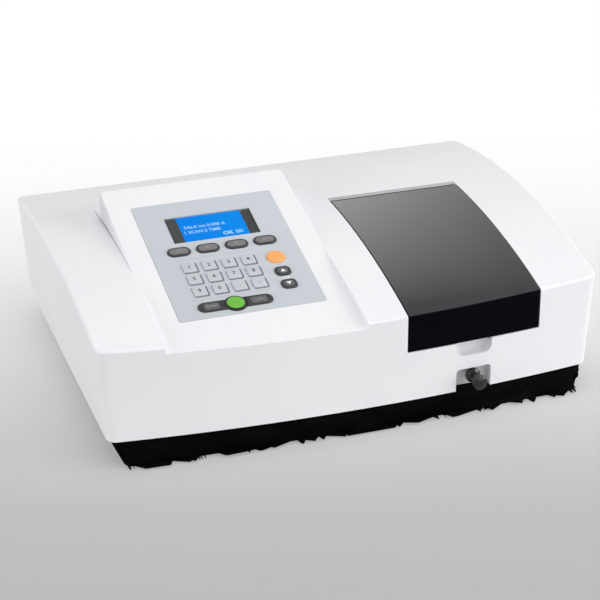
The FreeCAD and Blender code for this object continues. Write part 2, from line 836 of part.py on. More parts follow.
def make_pull_knob():
    # turned knob: rear flange, waist and domed head, measured from its rear face
    r0 = knob_flange_radius
    r1 = knob_waist_radius
    r2 = knob_head_radius
    head = knob_length - 6.4
    profile = [V(0, 0, 0), V(r0 - 0.6, 0, 0), V(r0, -0.6, 0), V(r0, -3.0, 0), V(r0 - 0.6, -3.6, 0),
               V(r1, -5.2, 0), V(r1, -head + 2.4, 0), V(r2, -head - 0.4, 0), V(r2, -knob_length - 4, 0),
               V(0, -knob_length - 4, 0)]
    knob = Part.Face(Part.makePolygon(profile + profile[:1])).revolve(V(0, 0, 0), V(0, 1, 0), 360)
    dome_radius = 14.0
    dome = Part.makeSphere(dome_radius, V(0, dome_radius - knob_length, 0))
    knob = knob.common(dome.fuse(cylinder(r2 + 2, V(0, -head, 0), head + 1, ALONG_Y)))
    knob = knob.cut(cylinder(rod_radius, V(0, 6 - knob_length, 0), knob_length, ALONG_Y))
    knob.translate(V(bay_x, knob_back_y, rod_height))
    return knob


def make_detent_spring():
    # leaf on the bay floor whose nose stands at the row of notches in the carriage
    wing_reach = rail_spread + rail_radius + 4
    x = bay_x + wing_reach + 0.2
    y = beam_y
    foot = box(x, x + 8, y - 24, y - 14, bay_floor, bay_floor + 1.2)
    stand = box(x, x + 0.8, y - 24, y + 10, bay_floor, bay_floor + 7)
    return fuse([foot, stand])


def base_outline(inset, z):
    # outline of the base at one height, its four corners still sharp
    f = (cover_bottom - z) / (cover_bottom - base_bottom)
    half = cover_width / 2 - side_draft - base_inset - base_side_lean * f - inset
    top_middle = front - front_bulge + base_inset
    low_middle = front - front_bulge + base_front_setback
    top_end = front - bow(half) + base_inset - 0.8
    low_end = low_middle + base_front_bow
    middle_y = top_middle + (low_middle - top_middle) * f + inset
    end_y = top_end + (low_end - top_end) * f + inset
    rear_y = back - base_inset - base_rear_lean * f - inset
    arc = Part.Arc(V(-half, end_y, z), V(0, middle_y, z), V(half, end_y, z)).toShape()
    right = Part.makeLine(V(half, end_y, z), V(half, rear_y, z))
    rear = Part.makeLine(V(half, rear_y, z), V(-half, rear_y, z))
    left = Part.makeLine(V(-half, rear_y, z), V(-half, end_y, z))
    return Part.Wire([arc, right, rear, left])


def base_block(inset, low, high):
    # the base narrows towards the floor on all four sides
    block = Part.makeLoft([base_outline(inset, low), base_outline(inset, high)], True, True)

    def corner(edge):
        p = edge.Vertexes[0].Point
        q = edge.Vertexes[-1].Point
        return abs(p.z - q.z) > 0.9 * (high - low)

    return block.makeFillet(base_corner_radius - inset, edges_of(block, corner))


def foot_places():
    places = []
    for sx in (-1, 1):
        for y in (front + foot_inset_y, back - foot_inset_y):
            places.append((sx * (cover_width / 2 - foot_inset_x), y))
    return places


def bench_posts_places():
    xs = (bench_left + 16, bench_right - 16)
    ys = (bench_front + 16, bench_back - 16)
    return [(x, y) for x in xs for y in ys]


bench_left = mono_left - bench_margin
bench_right = cover_width / 2 - screw_inset_x - boss_radius - 2
bench_front = front + 22
bench_back = back - 22


def make_base():
    tray = base_block(0, base_bottom, cover_bottom)
    lower = edges_of(tray, lambda e: abs(e.BoundBox.ZMax - base_bottom) < 0.01)
    tray = tray.makeFillet(2.0, lower)
    tray = tray.cut(base_block(base_wall, floor_top, cover_bottom + 1))
    lip_inset = cover_wall + lip_gap
    lip = cover_block(lip_inset, cover_bottom - 1).cut(cover_block(lip_inset + lip_wall, cover_bottom - 2))
    lip = lip.common(box(-cover_width, cover_width, -cover_depth, cover_depth, cover_bottom - 1,
                         cover_bottom + lip_height))
    half = knob_pocket_width / 2 + cover_wall + 1
    lip = lip.cut(box(bay_x - half, bay_x + half, front - 40, front + 10, cover_bottom - 2, cover_bottom + 20))
    shelf = box(bay_x - half - 2, bay_x + half + 2, front - 30, front + 6, cover_bottom - 3.4, cover_bottom - 0.4)
    half = rear_panel_half + 1
    lip = lip.cut(box(-half, half, back - 20, back + 5, cover_bottom, cover_bottom + 20))
    pads = [shelf]
    for x, y in screw_places():
        pads.append(cylinder(8.0, V(x, y, base_bottom + 1), floor_top + 3.8 - base_bottom - 1))
    for x, y in bench_posts_places():
        pads.append(cylinder(7.0, V(x, y, floor_top - 1), bench_bottom - floor_top + 1))
    limit = base_block(0.5, base_bottom, cover_bottom)
    tray = fuse([tray, lip] + [p.common(limit) for p in pads])
    tools = []
    for x, y in screw_places():
        tools.append(cylinder(screw_radius + 0.3, V(x, y, 0), 30))
        tools.append(cylinder(screw_head_radius + 0.3, V(x, y, 0), base_bottom + screw_head_height + 0.4))
    for x, y in foot_places():
        tools.append(cylinder(foot_radius + fit_gap, V(x, y, 0), base_bottom + 1.8))
    return cut(tray, tools)


rear_panel_half = cover_width / 2 - rear_opening_margin + 4


def make_cover_screws():
    screws = []
    for x, y in screw_places():
        head_top = base_bottom + screw_head_height + 0.4
        head = cylinder(screw_head_radius, V(x, y, head_top - screw_head_height), screw_head_height)
        shank = cylinder(screw_radius - 0.02, V(x, y, head_top - 0.5), 22)
        slot = box(x - screw_head_radius, x + screw_head_radius, y - 0.5, y + 0.5,
                   head_top - screw_head_height - 1, head_top - screw_head_height + 1)
        cross = box(x - 0.5, x + 0.5, y - screw_head_radius, y + screw_head_radius,
                    head_top - screw_head_height - 1, head_top - screw_head_height + 1)
        screws.append(cut(fuse([head, shank]), [slot.common(cylinder(2.2, V(x, y, 0), 20)),
                                                cross.common(cylinder(2.2, V(x, y, 0), 20))]))
    return Part.makeCompound(screws)


def make_feet():
    feet = []
    for x, y in foot_places():
        disc = Part.makeCone(foot_radius - 1.2, foot_radius, foot_height - 1.5, V(x, y, 0))
        top = cylinder(foot_radius, V(x, y, foot_height - 1.5), base_bottom + 1.8 - foot_height + 1.5)
        dish = cylinder(4.0, V(x, y, -1), 2.2)
        feet.append(fuse([disc, top]).cut(dish))
    return Part.makeCompound(feet)


grating_x = mono_right - 42
grating_y = (beam_y + slit_y) / 2
lamp_left = mono_right + 22
lamp_right = lamp_left + lamp_house_width
lamp_front_y = well_back + cover_wall + 2
lamp_back_y = back - 26
mirror_x = lamp_left + 100
mirror_y = slit_y
deuterium_x = mirror_x - 60
deuterium_y = slit_y + 35
tungsten_x = mirror_x - 38
tungsten_y = slit_y - 17


def make_bench():
    plate = box(bench_left, bench_right, bench_front, bench_back, bench_bottom + 4, bench_top)
    ribs = []
    for k in range(1, 5):
        x = bench_left + k * (bench_right - bench_left) / 5
        ribs.append(box(x - 2, x + 2, bench_front, bench_back, bench_bottom, bench_bottom + 4))
    rim = box(bench_left, bench_right, bench_front, bench_back, bench_bottom, bench_bottom + 4)
    rim = rim.cut(box(bench_left + 4, bench_right - 4, bench_front + 4, bench_back - 4, bench_bottom - 1,
                      bench_bottom + 5))
    pads = [cylinder(9.0, V(x, y, bench_bottom), 5) for x, y in bench_posts_places()]
    seats = [cylinder(motor_radius + 4, V(x, y, bench_bottom), 4.5)
             for x, y in ((grating_x, grating_y), (mirror_x, mirror_y))]
    bench = fuse([plate, rim] + ribs + pads + seats)
    tools = [cylinder(shaft_radius + 2, V(x, y, bench_bottom - 1), bench_thickness + 2)
             for x, y in ((grating_x, grating_y), (mirror_x, mirror_y))]
    return cut(bench, tools)


def make_mono_hood():
    # light tight hood over the monochromator, with posts on top for the main board
    outer = box(mono_left, mono_right, mono_front_y, mono_back_y, bench_top, mono_top)
    outer = outer.makeFillet(3.0, edges_of(outer, is_vertical))
    inner = box(mono_left + hood_wall, mono_right - hood_wall, mono_front_y + hood_wall, mono_back_y - hood_wall,
                bench_top - 1, mono_top - hood_wall)
    hood = outer.cut(inner)
    posts = [cylinder(3.0, V(x, y, mono_top - 1), 7) for x, y in main_board_corners()]
    hood = fuse([hood] + posts)
    tools = [cylinder(5.0, V(mono_right - 10, y, beam_z), 20, ALONG_X) for y in (beam_y, slit_y)]
    return cut(hood, tools)


main_board_size = (140.0, 130.0)


def main_board_corners():
    w, h = main_board_size
    x0 = mono_left + 10
    y1 = mono_back_y - 6
    return [(x0 + a, y1 - b) for a in (5, w - 5) for b in (5, h - 5)]


def make_main_board():
    w, h = main_board_size
    x0 = mono_left + 10
    y1 = mono_back_y - 6
    z = mono_top + 6
    board = box(x0, x0 + w, y1 - h, y1, z, z + board_thickness)
    chips = []
    for k in range(3):
        chips.append(box(x0 + 15 + 40 * k, x0 + 40 + 40 * k, y1 - 50, y1 - 25, z + 1, z + 4.5))
    chips.append(box(x0 + 12, x0 + 92, y1 - h + 10, y1 - h + 18, z + 1, z + 9))
    chips.append(box(x0 + 105, x0 + 130, y1 - h + 15, y1 - h + 60, z + 1, z + 12))
    for k in range(4):
        chips.append(cylinder(4.0, V(x0 + 20 + 18 * k, y1 - 85, z + 1), 11))
    return fuse([board] + chips)


def make_mono_mirrors():
    # two concave mirrors on stands at the far end of the monochromator
    mirrors = []
    x = mono_left + 22
    for y in (beam_y, slit_y):
        stand = box(x - 10, x, y - 16, y + 16, bench_top, beam_z + 18)
        ball = Part.makeSphere(170.0, V(x + 168, y, beam_z))
        seat = cylinder(14.0, V(x - 5, y, beam_z), 8, ALONG_X)
        mirrors.append(fuse([stand, seat]).cut(ball))
    return Part.makeCompound(mirrors)


def make_grating_table():
    shaft = cylinder(shaft_radius, V(grating_x, grating_y, bench_bottom - 6), 46 - bench_bottom)
    table = cylinder(18.0, V(grating_x, grating_y, bench_top + 8), 4)
    carrier = box(grating_x - 4, grating_x + 6, grating_y - 15, grating_y + 15, bench_top + 11, beam_z + 16)
    face = box(grating_x - 8, grating_x - 3, grating_y - 13, grating_y + 13, beam_z - 13, beam_z + 13)
    foot = box(grating_x + 6, grating_x + 14, grating_y - 12, grating_y + 12, bench_top + 11, bench_top + 16)
    return fuse([shaft, table, carrier, face, foot])


def make_steppers():
    # grating motor and lamp mirror motor under the bench, filter motor on the hood
    motors = []
    for x, y in ((grating_x, grating_y), (mirror_x, mirror_y)):
        can = cylinder(motor_radius, V(x, y, bench_bottom - motor_length), motor_length)
        tabs = box(x - motor_radius - 4, x + motor_radius + 4, y - 4, y + 4, bench_bottom - 1.2, bench_bottom)
        bore = cylinder(shaft_radius + shaft_gap, V(x, y, bench_bottom - motor_length + 2), motor_length)
        motors.append(fuse([can, tabs]).cut(bore))
    x = mono_right
    can = cylinder(motor_radius - 1, V(x, filter_y, filter_z), 8.0, ALONG_X)
    tabs = box(x, x + 1.2, filter_y - 4, filter_y + 4, filter_z - motor_radius - 4, filter_z + motor_radius + 4)
    bore = cylinder(shaft_radius + shaft_gap, V(x + 2, filter_y, filter_z), 10, ALONG_X)
    motors.append(fuse([can, tabs]).cut(bore))
    return Part.makeCompound(motors)


filter_y = slit_y + filter_ring_radius
filter_z = beam_z


def make_filter_wheel():
    x = mono_right + 9.2
    disc = cylinder(filter_wheel_radius, V(x, filter_y, filter_z), 2.4, ALONG_X)
    hub = cylinder(5.0, V(x - 0.6, filter_y, filter_z), 4.6, ALONG_X)
    shaft = cylinder(shaft_radius, V(mono_right + 3, filter_y, filter_z), 7, ALONG_X)
    wheel = fuse([disc, hub, shaft])
    holes = []
    for k in range(6):
        angle = math.radians(180 + 60 * k)
        y = filter_y + filter_ring_radius * math.cos(angle)
        z = filter_z + filter_ring_radius * math.sin(angle)
        holes.append(cylinder(5.0, V(x - 1, y, z), 5, ALONG_X))
    return cut(wheel, holes)


def make_lamp_house():
    outer = box(lamp_left, lamp_right, lamp_front_y, lamp_back_y, bench_top, lamp_house_top)
    outer = outer.makeFillet(3.0, edges_of(outer, is_vertical))
    inner = box(lamp_left + 1.5, lamp_right - 1.5, lamp_front_y + 1.5, lamp_back_y - 1.5, bench_top - 1,
                lamp_house_top - 1.5)
    tools = [inner, cylinder(8.0, V(lamp_left - 5, slit_y, beam_z), 12, ALONG_X)]
    for k in range(12):
        x = lamp_left + 16 + k * 10.0
        tools.append(box(x, x + 4, lamp_front_y + 14, lamp_back_y - 14, lamp_house_top - 5, lamp_house_top + 5))
        tools.append(box(x, x + 4, lamp_back_y - 5, lamp_back_y + 5, bench_top + 20, lamp_house_top - 14))
    return cut(outer, tools)


def make_tungsten_lamp():
    x = tungsten_x
    y = tungsten_y
    block = box(x - 11, x + 11, y - 8, y + 8, bench_top, bench_top + 14)
    post = cylinder(5.0, V(x, y, bench_top + 13), 6)
    bulb = cylinder(5.5, V(x, y, bench_top + 18), 20)
    tip = Part.makeSphere(5.5, V(x, y, bench_top + 38))
    return fuse([block, post, bulb, tip])


def make_deuterium_lamp():
    x = deuterium_x
    y = deuterium_y
    flange = cylinder(18.0, V(x, y, bench_top), 5)
    bulb = cylinder(14.0, V(x, y, bench_top + 4), 42)
    tip = Part.makeSphere(14.0, V(x, y, bench_top + 40)).common(
        box(x - 20, x + 20, y - 20, y + 20, bench_top + 40, bench_top + 60))
    towards_mirror = V(mirror_x - x, mirror_y - y, 0).normalize()
    window = cylinder(5.0, V(x, y, beam_z) + towards_mirror * 8, 10, towards_mirror)
    return fuse([flange, bulb, tip, window])


def make_source_mirror():
    # swinging arm with a round mirror that picks one of the two lamps
    shaft = cylinder(shaft_radius, V(mirror_x, mirror_y, bench_bottom - 6), bench_top + 10 - bench_bottom)
    hub = cylinder(7.0, V(mirror_x, mirror_y, bench_top + 1), 5)
    arm = box(mirror_x - 5, mirror_x + 5, mirror_y - 3, mirror_y + 3, bench_top + 5, beam_z)
    disc = cylinder(13.0, V(mirror_x - 6.5, mirror_y, beam_z), 5, ALONG_X)
    ball = Part.makeSphere(90.0, V(mirror_x - 95.5, mirror_y, beam_z))
    return fuse([shaft, hub, arm, disc]).cut(ball)


def make_slit_plates():
    plates = []
    x = mono_right - hood_wall - 1.2
    for y in (beam_y, slit_y):
        plate = box(x, x + 1.2, y - 12, y + 12, beam_z - 16, beam_z + 16)
        slit = box(x - 1, x + 3, y - 0.5, y + 0.5, beam_z - 5, beam_z + 5)
        plates.append(plate.cut(slit))
    return Part.makeCompound(plates)


def make_detector():
    x0 = bay_right + bay_wall + 3
    body = box(x0, x0 + 40, beam_y - 20, beam_y + 20, bench_top, well_floor - cover_wall - 1.5)
    body = body.makeFillet(2.0, edges_of(body, is_vertical))
    snout = cylinder(7.0, V(x0 - 2.8, beam_y, beam_z), 6, ALONG_X)
    bore = cylinder(5.0, V(x0 - 4, beam_y, beam_z), 20, ALONG_X)
    return fuse([body, snout]).cut(bore)


def make_keypad_panel():
    panel = rounded_prism(panel_width, panel_length, panel_corner_radius, panel_x, panel_t,
                          panel_under, panel_proud)
    tools = [rounded_prism(window_width + 2 * fit_gap, window_height + 2 * fit_gap, window_corner_radius,
                           display_x, display_t, panel_under - 1, panel_proud + 1)]
    for name, kind, x, t in key_layout():
        tools.append(key_outline(kind, x, t, key_gap, panel_under - 1, panel_proud + 1))
    tools.append(cylinder(round_key_diameter / 2 + 2.0, V(bar_x, bar_t, panel_under - 1), 4))
    return on_console(cut(panel, tools))


def make_window():
    pane = rounded_prism(window_width, window_height, window_corner_radius, display_x, display_t,
                         panel_proud - 0.3 - window_thickness, panel_proud - 0.3)
    return on_console(pane)


def make_display():
    top = panel_proud - 0.3 - window_thickness - 0.2
    w = window_width + 2 * display_margin_x
    h = window_height + 2 * display_margin_t
    module = rounded_prism(w, h, 1.5, display_x, display_t, board_top, panel_under - fit_gap)
    raised = rounded_prism(window_width - 1.5, window_height - 1.5, 0.8, display_x, display_t, board_top, top)
    return on_console(fuse([module, raised]))


def make_keypad_board():
    w = panel_width + 2 * board_margin
    h = panel_length + 2 * board_margin
    board = rounded_prism(w, h, 2.0, panel_x, panel_t, board_top - board_thickness, board_top)
    parts = [board]
    for k in range(3):
        x = panel_x - 40 + 36 * k
        parts.append(box(x, x + 18, panel_t - 10, panel_t + 8, board_top - 4.5, board_top - 1))
    return on_console(fuse(parts))


def make_key(kind, x, t):
    height = square_key_height if kind == "square" else key_height
    top = panel_proud + height
    cap = key_outline(kind, x, t, 0, flange_low + 0.5, top)
    upper = edges_of(cap, lambda e: abs(e.BoundBox.ZMin - top) < 0.001)
    cap = cap.makeChamfer(0.45, upper)
    flange = key_outline(kind, x, t, key_flange, flange_low, flange_low + key_flange_thickness)
    if kind == "round" and abs(t - bar_t) < 1:
        collar = cylinder(round_key_diameter / 2 + 1.4, V(x, t, flange_low), panel_proud + 0.5 - flange_low)
        flange = collar
    if kind.startswith("bar"):
        side = -1 if kind == "bar_left" else 1
        reach = bar_key_length / 2 - 12
        stem_x = x + side * reach
        flange = key_outline(kind, x, t, 0.0, flange_low, flange_low + key_flange_thickness)
        rim = rounded_prism(bar_key_length / 2 - 12, bar_key_height + 2 * key_flange, 2.0,
                            x + side * (bar_key_length / 4 + 7), t, flange_low, flange_low + key_flange_thickness)
        flange = fuse([flange, rim])
    else:
        stem_x = x
    stem = cylinder(2.4, V(stem_x, t, stem_low), flange_low - stem_low + 0.5)
    return on_console(fuse([cap, flange, stem]))


inlet_x = -cover_width / 2 + 62
inlet_z = 62.0
inlet_width = 27.0
inlet_height = 20.0
inlet_depth = 17.0
rocker_width = 13.0
rocker_height = 19.5
rocker_angle = 8.0
switch_x = inlet_x + 34


def make_mains_inlet():
    # socket with three pins beside the housing of the rocker switch
    y0 = rear_panel_y + rear_panel_thickness
    flange = box(inlet_x - 21, switch_x + 13, y0, y0 + 2.2, inlet_z - 16, inlet_z + 16)
    corners = edges_of(flange, lambda e: abs(e.Vertexes[0].Y - e.Vertexes[-1].Y) > 1)
    flange = flange.makeFillet(3.0, corners)
    body = box(inlet_x - 17, switch_x + 10, y0 - 26, y0 + 1, inlet_z - 13, inlet_z + 13)
    collar = box(inlet_x - 16.5, inlet_x + 16.5, y0 - 1, y0 + 3.0, inlet_z - 12.5, inlet_z + 12.5)
    shape = fuse([flange, body, collar])
    cavity = box(inlet_x - inlet_width / 2, inlet_x + inlet_width / 2, y0 + 3 - inlet_depth, y0 + 5,
                 inlet_z - inlet_height / 2, inlet_z + inlet_height / 2)
    cavity = cavity.makeFillet(3.5, edges_of(cavity, lambda e: abs(e.Vertexes[0].Y - e.Vertexes[-1].Y) > 5
                                             and e.CenterOfMass.z > inlet_z))
    gap = 0.3
    well = box(switch_x - rocker_width / 2 - gap, switch_x + rocker_width / 2 + gap, y0 - 11, y0 + 5,
               inlet_z - rocker_height / 2 - gap, inlet_z + rocker_height / 2 + gap)
    shape = cut(shape, [cavity, well])
    pins = []
    for dx, dz in ((-7, -3.5), (0, 3.5), (7, -3.5)):
        pins.append(box(inlet_x + dx - 1, inlet_x + dx + 1, y0 + 2 - inlet_depth, y0 - 2.5,
                        inlet_z + dz - 2, inlet_z + dz + 2))
    axle = cylinder(1.5, V(switch_x - rocker_width / 2 - gap - 1, y0 - 3.5, inlet_z), rocker_width + 2 * gap + 2,
                    ALONG_X)
    return fuse([shape] + pins + [axle])


def make_rocker():
    # rocker that turns on the housing's axle, drawn in its off position
    y0 = rear_panel_y + rear_panel_thickness
    half = rocker_height / 2
    profile = [V(0, -9, -3.5), V(0, -5.6, -half + 1.0), V(0, 0.9, -half + 0.7), V(0, 2.2, -half + 1.2),
               V(0, 0.4, 0), V(0, 2.2, half - 1.2), V(0, 0.9, half - 0.7), V(0, -5.6, half - 1.0), V(0, -9, 3.5)]
    solid = Part.Face(Part.makePolygon(profile + profile[:1])).extrude(V(rocker_width, 0, 0))
    solid = solid.cut(cylinder(1.5 + 0.06, V(-1, -3.5, 0), rocker_width + 2, ALONG_X))
    solid = solid.copy()
    solid.rotate(V(0, -3.5, 0), ALONG_X, -rocker_angle)
    solid.translate(V(switch_x - rocker_width / 2, y0, inlet_z))
    return solid


usb_x = -30.0
serial_x = 20.0
port_z = 60.0


def make_ports():
    y0 = rear_panel_y + rear_panel_thickness
    square = box(usb_x - 8, usb_x + 8, y0 - 14, y0 + 1.5, port_z - 8, port_z + 8)
    hole = box(usb_x - 4.4, usb_x + 4.4, y0 - 9, y0 + 3, port_z - 4.0, port_z + 4.0)
    tongue = box(usb_x - 2.8, usb_x + 2.8, y0 - 10, y0 - 0.5, port_z - 1.6, port_z + 1.6)
    usb = fuse([square.cut(hole), tongue])
    back_plate = box(serial_x - 15.5, serial_x + 15.5, y0, y0 + 1.2, port_z - 6.3, port_z + 6.3)
    shell = [V(serial_x - 9, y0 - 12, port_z + 4.2), V(serial_x + 9, y0 - 12, port_z + 4.2),
             V(serial_x + 7.6, y0 - 12, port_z - 4.2), V(serial_x - 7.6, y0 - 12, port_z - 4.2)]
    shield = Part.Face(Part.makePolygon(shell + shell[:1])).extrude(V(0, 15.2, 0))
    nuts = [cylinder(2.6, V(serial_x + sx * 12.5, y0, port_z), 3.2, ALONG_Y) for sx in (-1, 1)]
    serial = fuse([back_plate, shield] + nuts)
    pins = []
    for k in range(5):
        pins.append(cylinder(0.6, V(serial_x + (k - 2) * 2.7, y0 + 2, port_z + 1.5), 5, ALONG_Y))
    for k in range(4):
        pins.append(cylinder(0.6, V(serial_x + (k - 1.5) * 2.7, y0 + 2, port_z - 1.5), 5, ALONG_Y))
    return Part.makeCompound([usb, cut(serial, pins)])


fan_x = cover_width / 2 - 80
fan_z = 68.0
fan_hub_radius = 12.0
fan_blade_radius = 26.5


def make_fan_frame():
    y1 = rear_panel_y
    y0 = y1 - fan_depth
    half = fan_size / 2
    body = box(fan_x - half, fan_x + half, y0, y1, fan_z - half, fan_z + half)
    body = body.makeFillet(4.0, edges_of(body, lambda e: abs(e.Vertexes[0].Y - e.Vertexes[-1].Y) > 5))
    bore = cylinder(fan_blade_radius + 1.0, V(fan_x, y0 - 1, fan_z), fan_depth + 2, ALONG_Y)
    ring = body.cut(bore)
    parts = [ring, cylinder(fan_hub_radius, V(fan_x, y0, fan_z), 3, ALONG_Y)]
    for k in range(4):
        arm = box(fan_x - 1.5, fan_x + 1.5, y0, y0 + 2.5, fan_z + 5, fan_z + fan_blade_radius + 2)
        arm.rotate(V(fan_x, y0, fan_z), ALONG_Y, 45 + 90 * k)
        parts.append(arm)
    parts.append(cylinder(2.0, V(fan_x, y0 + 2, fan_z), 7, ALONG_Y))
    frame = fuse(parts)
    holes = []
    for sx in (-1, 1):
        for sz in (-1, 1):
            holes.append(cylinder(2.1, V(fan_x + sx * 25, y0 - 1, fan_z + sz * 25), fan_depth + 2, ALONG_Y))
    return cut(frame, holes)


def make_fan_rotor():
    y0 = rear_panel_y - fan_depth + 3.4
    depth = fan_depth - 4.4
    hub = cylinder(fan_hub_radius, V(fan_x, y0, fan_z), depth, ALONG_Y)
    hub = hub.makeFillet(1.5, [e for e in hub.Edges if abs(e.BoundBox.YMin - y0 - depth) < 0.01 and e.Closed])
    blades = []
    limit = cylinder(fan_blade_radius, V(fan_x, y0, fan_z), depth, ALONG_Y)
    for k in range(7):
        blade = box(fan_x - 0.7, fan_x + 0.7, y0 - 5, y0 + depth + 5, fan_z + 9, fan_z + fan_blade_radius + 3)
        blade.rotate(V(fan_x, y0 + depth / 2, fan_z), ALONG_Z, 42)
        blade.rotate(V(fan_x, y0, fan_z), ALONG_Y, 360.0 / 7 * k)
        blades.append(blade.common(limit))
    rotor = fuse([hub] + blades)
    return rotor.cut(cylinder(2.0 + shaft_gap, V(fan_x, y0 - 1, fan_z), 7, ALONG_Y))


def make_rear_panel():
    # sheet metal panel that stands on the base's rim behind the cover's rear opening
    y0 = rear_panel_y
    y1 = y0 + rear_panel_thickness
    half = rear_panel_half
    panel = box(-half, half, y0, y1, cover_bottom, rear_opening_top + 4)
    tools = [box(inlet_x - 17.2, switch_x + 10.2, y0 - 1, y1 + 1, inlet_z - 13.2, inlet_z + 13.2)]
    tools.append(box(usb_x - 8.1, usb_x + 8.1, y0 - 1, y1 + 1, port_z - 8.1, port_z + 8.1))
    tools.append(box(serial_x - 9.4, serial_x + 9.4, y0 - 1, y1 + 1, port_z - 4.6, port_z + 4.6))
    pitch = vent_slot_width + 3.0
    count = int(fan_blade_radius * 2 / pitch)
    for k in range(count):
        offset = (k - (count - 1) / 2) * pitch
        reach = math.sqrt(max(fan_blade_radius ** 2 - offset ** 2, 4.0))
        slot = rounded_prism(vent_slot_width, 2 * reach, vent_slot_width / 2, 0, 0, 0, 6)
        slot.rotate(V(0, 0, 0), ALONG_X, 90)
        slot.translate(V(fan_x + offset, y1 + 3, fan_z))
        tools.append(slot)
    for k in range(9):
        slot = rounded_prism(vent_slot_width, 34, vent_slot_width / 2, 0, 0, 0, 6)
        slot.rotate(V(0, 0, 0), ALONG_X, 90)
        slot.translate(V(70 + (k - 4) * pitch, y1 + 3, fan_z))
        tools.append(slot)
    return cut(panel, tools)


def make_power_supply():
    x0 = -cover_width / 2 + power_supply_inset
    x1 = x0 + power_supply_width
    y0 = (front + back) / 2 + 12
    y1 = back - 44
    z = floor_top + 5
    board = box(x0, x1, y0, y1, z, z + 1.6)
    posts = [cylinder(3.0, V(x, y, floor_top), 6) for x in (x0 + 5, x1 - 5) for y in (y0 + 5, y1 - 5)]
    coil = box(x0 + 8, x0 + 36, y0 + 34, y0 + 62, z + 1, z + 28)
    sink = box(x0 + 6, x0 + 9, y0 + 68, y1 - 8, z + 1, z + 30)
    caps = [cylinder(7.5, V(x0 + 14 + 18 * k, y0 + 18, z + 1), 26) for k in range(2)]
    return fuse([board, coil, sink] + posts + caps)


builders = [
    ("base_tray", make_base),
    ("upper_cover", make_cover),
    ("rear_panel", make_rear_panel),
    ("keypad_panel", make_keypad_panel),
    ("display_window", make_window),
    ("display_module", make_display),
    ("keypad_board", make_keypad_board),
    ("sample_lid", make_lid),
    ("lid_hinge_pins", make_hinge_pins),
    ("sample_chamber", make_sample_chamber),
    ("chamber_seal", make_seal),
    ("chamber_lenses", make_chamber_lenses),
    ("cell_carriage", make_carriage),
    ("carriage_rails", make_rails),
    ("pull_rod", make_pull_rod),
    ("pull_knob", make_pull_knob),
    ("detent_spring", make_detent_spring),
    ("optical_bench", make_bench),
    ("monochromator_hood", make_mono_hood),
    ("monochromator_mirrors", make_mono_mirrors),
    ("grating_table", make_grating_table),
    ("slit_plates", make_slit_plates),
    ("stepper_motors", make_steppers),
    ("filter_wheel", make_filter_wheel),
    ("lamp_house", make_lamp_house),
    ("tungsten_lamp", make_tungsten_lamp),
    ("deuterium_lamp", make_deuterium_lamp),
    ("source_mirror", make_source_mirror),
    ("detector_unit", make_detector),
    ("main_board", make_main_board),
    ("power_supply", make_power_supply),
    ("fan_frame", make_fan_frame),
    ("fan_rotor", make_fan_rotor),
    ("mains_inlet", make_mains_inlet),
    ("power_switch", make_rocker),
    ("data_ports", make_ports),
    ("rubber_feet", make_feet),
    ("cover_screws", make_cover_screws),
]

for part_name, builder in builders:
    save(part_name, builder())

for key_name, key_kind, key_x, key_t in key_layout():
    save(key_name, make_key(key_kind, key_x, key_t))
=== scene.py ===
import bpy
import bmesh
import math
from mathutils import Matrix, Vector


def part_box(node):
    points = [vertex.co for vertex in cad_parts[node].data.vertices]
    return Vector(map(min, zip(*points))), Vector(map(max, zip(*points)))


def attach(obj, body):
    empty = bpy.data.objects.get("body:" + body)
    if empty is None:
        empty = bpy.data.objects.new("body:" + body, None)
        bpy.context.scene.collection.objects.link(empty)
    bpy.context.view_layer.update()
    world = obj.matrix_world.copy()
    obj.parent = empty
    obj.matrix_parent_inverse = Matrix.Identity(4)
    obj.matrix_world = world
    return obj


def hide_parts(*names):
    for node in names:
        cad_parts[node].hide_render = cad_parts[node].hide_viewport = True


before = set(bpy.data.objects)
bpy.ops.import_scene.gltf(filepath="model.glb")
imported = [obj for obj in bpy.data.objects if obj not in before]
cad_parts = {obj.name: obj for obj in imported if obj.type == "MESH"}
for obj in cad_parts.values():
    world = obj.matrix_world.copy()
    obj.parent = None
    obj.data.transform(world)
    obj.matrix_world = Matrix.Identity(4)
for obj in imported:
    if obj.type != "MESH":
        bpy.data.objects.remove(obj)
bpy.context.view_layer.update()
mm = 0.001
print("frame loaded")

# the console's own axes, angles in degrees: x to the right, t up the slope from the front, n out of the plate
console = {"tilt": 14.04, "frontZ": 104.7 * mm, "frontY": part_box("upper_cover")[0].y + 15.5 * mm}
consoleSpace = (Matrix.Translation((0, console["frontY"], console["frontZ"]))
                @ Matrix.Rotation(math.radians(console["tilt"]), 4, "X"))


# the key panel stands a little proud of the console; sink is how far printing goes into its base
panel = {"top": 0.25 * mm, "sink": 0.01 * mm, "letters": 0.04 * mm}


# shader sums written as plain sums

class Wire:
    def __init__(self, kit, socket):
        self.kit = kit
        self.socket = socket

    def math(self, operation, *values):
        return self.kit.add("ShaderNodeMath", {"operation": operation}, dict(enumerate(values)))

    def __add__(self, other):
        return self.math("ADD", self, other)

    __radd__ = __add__

    def __sub__(self, other):
        return self.math("SUBTRACT", self, other)

    def __rsub__(self, other):
        return self.math("SUBTRACT", other, self)

    def __mul__(self, other):
        return self.math("MULTIPLY", self, other)

    __rmul__ = __mul__

    def __pow__(self, other):
        return self.math("POWER", self, other)

    def fraction(self):
        return self.math("FRACT", self)

    def above(self, limit):
        return self.math("GREATER_THAN", self, limit)

    def below(self, limit):
        return self.math("LESS_THAN", self, limit)

    def ramp(self, low, high):
        settings = {"clamp": True}
        return self.kit.add("ShaderNodeMapRange", settings, {"Value": self, "From Min": low, "From Max": high})


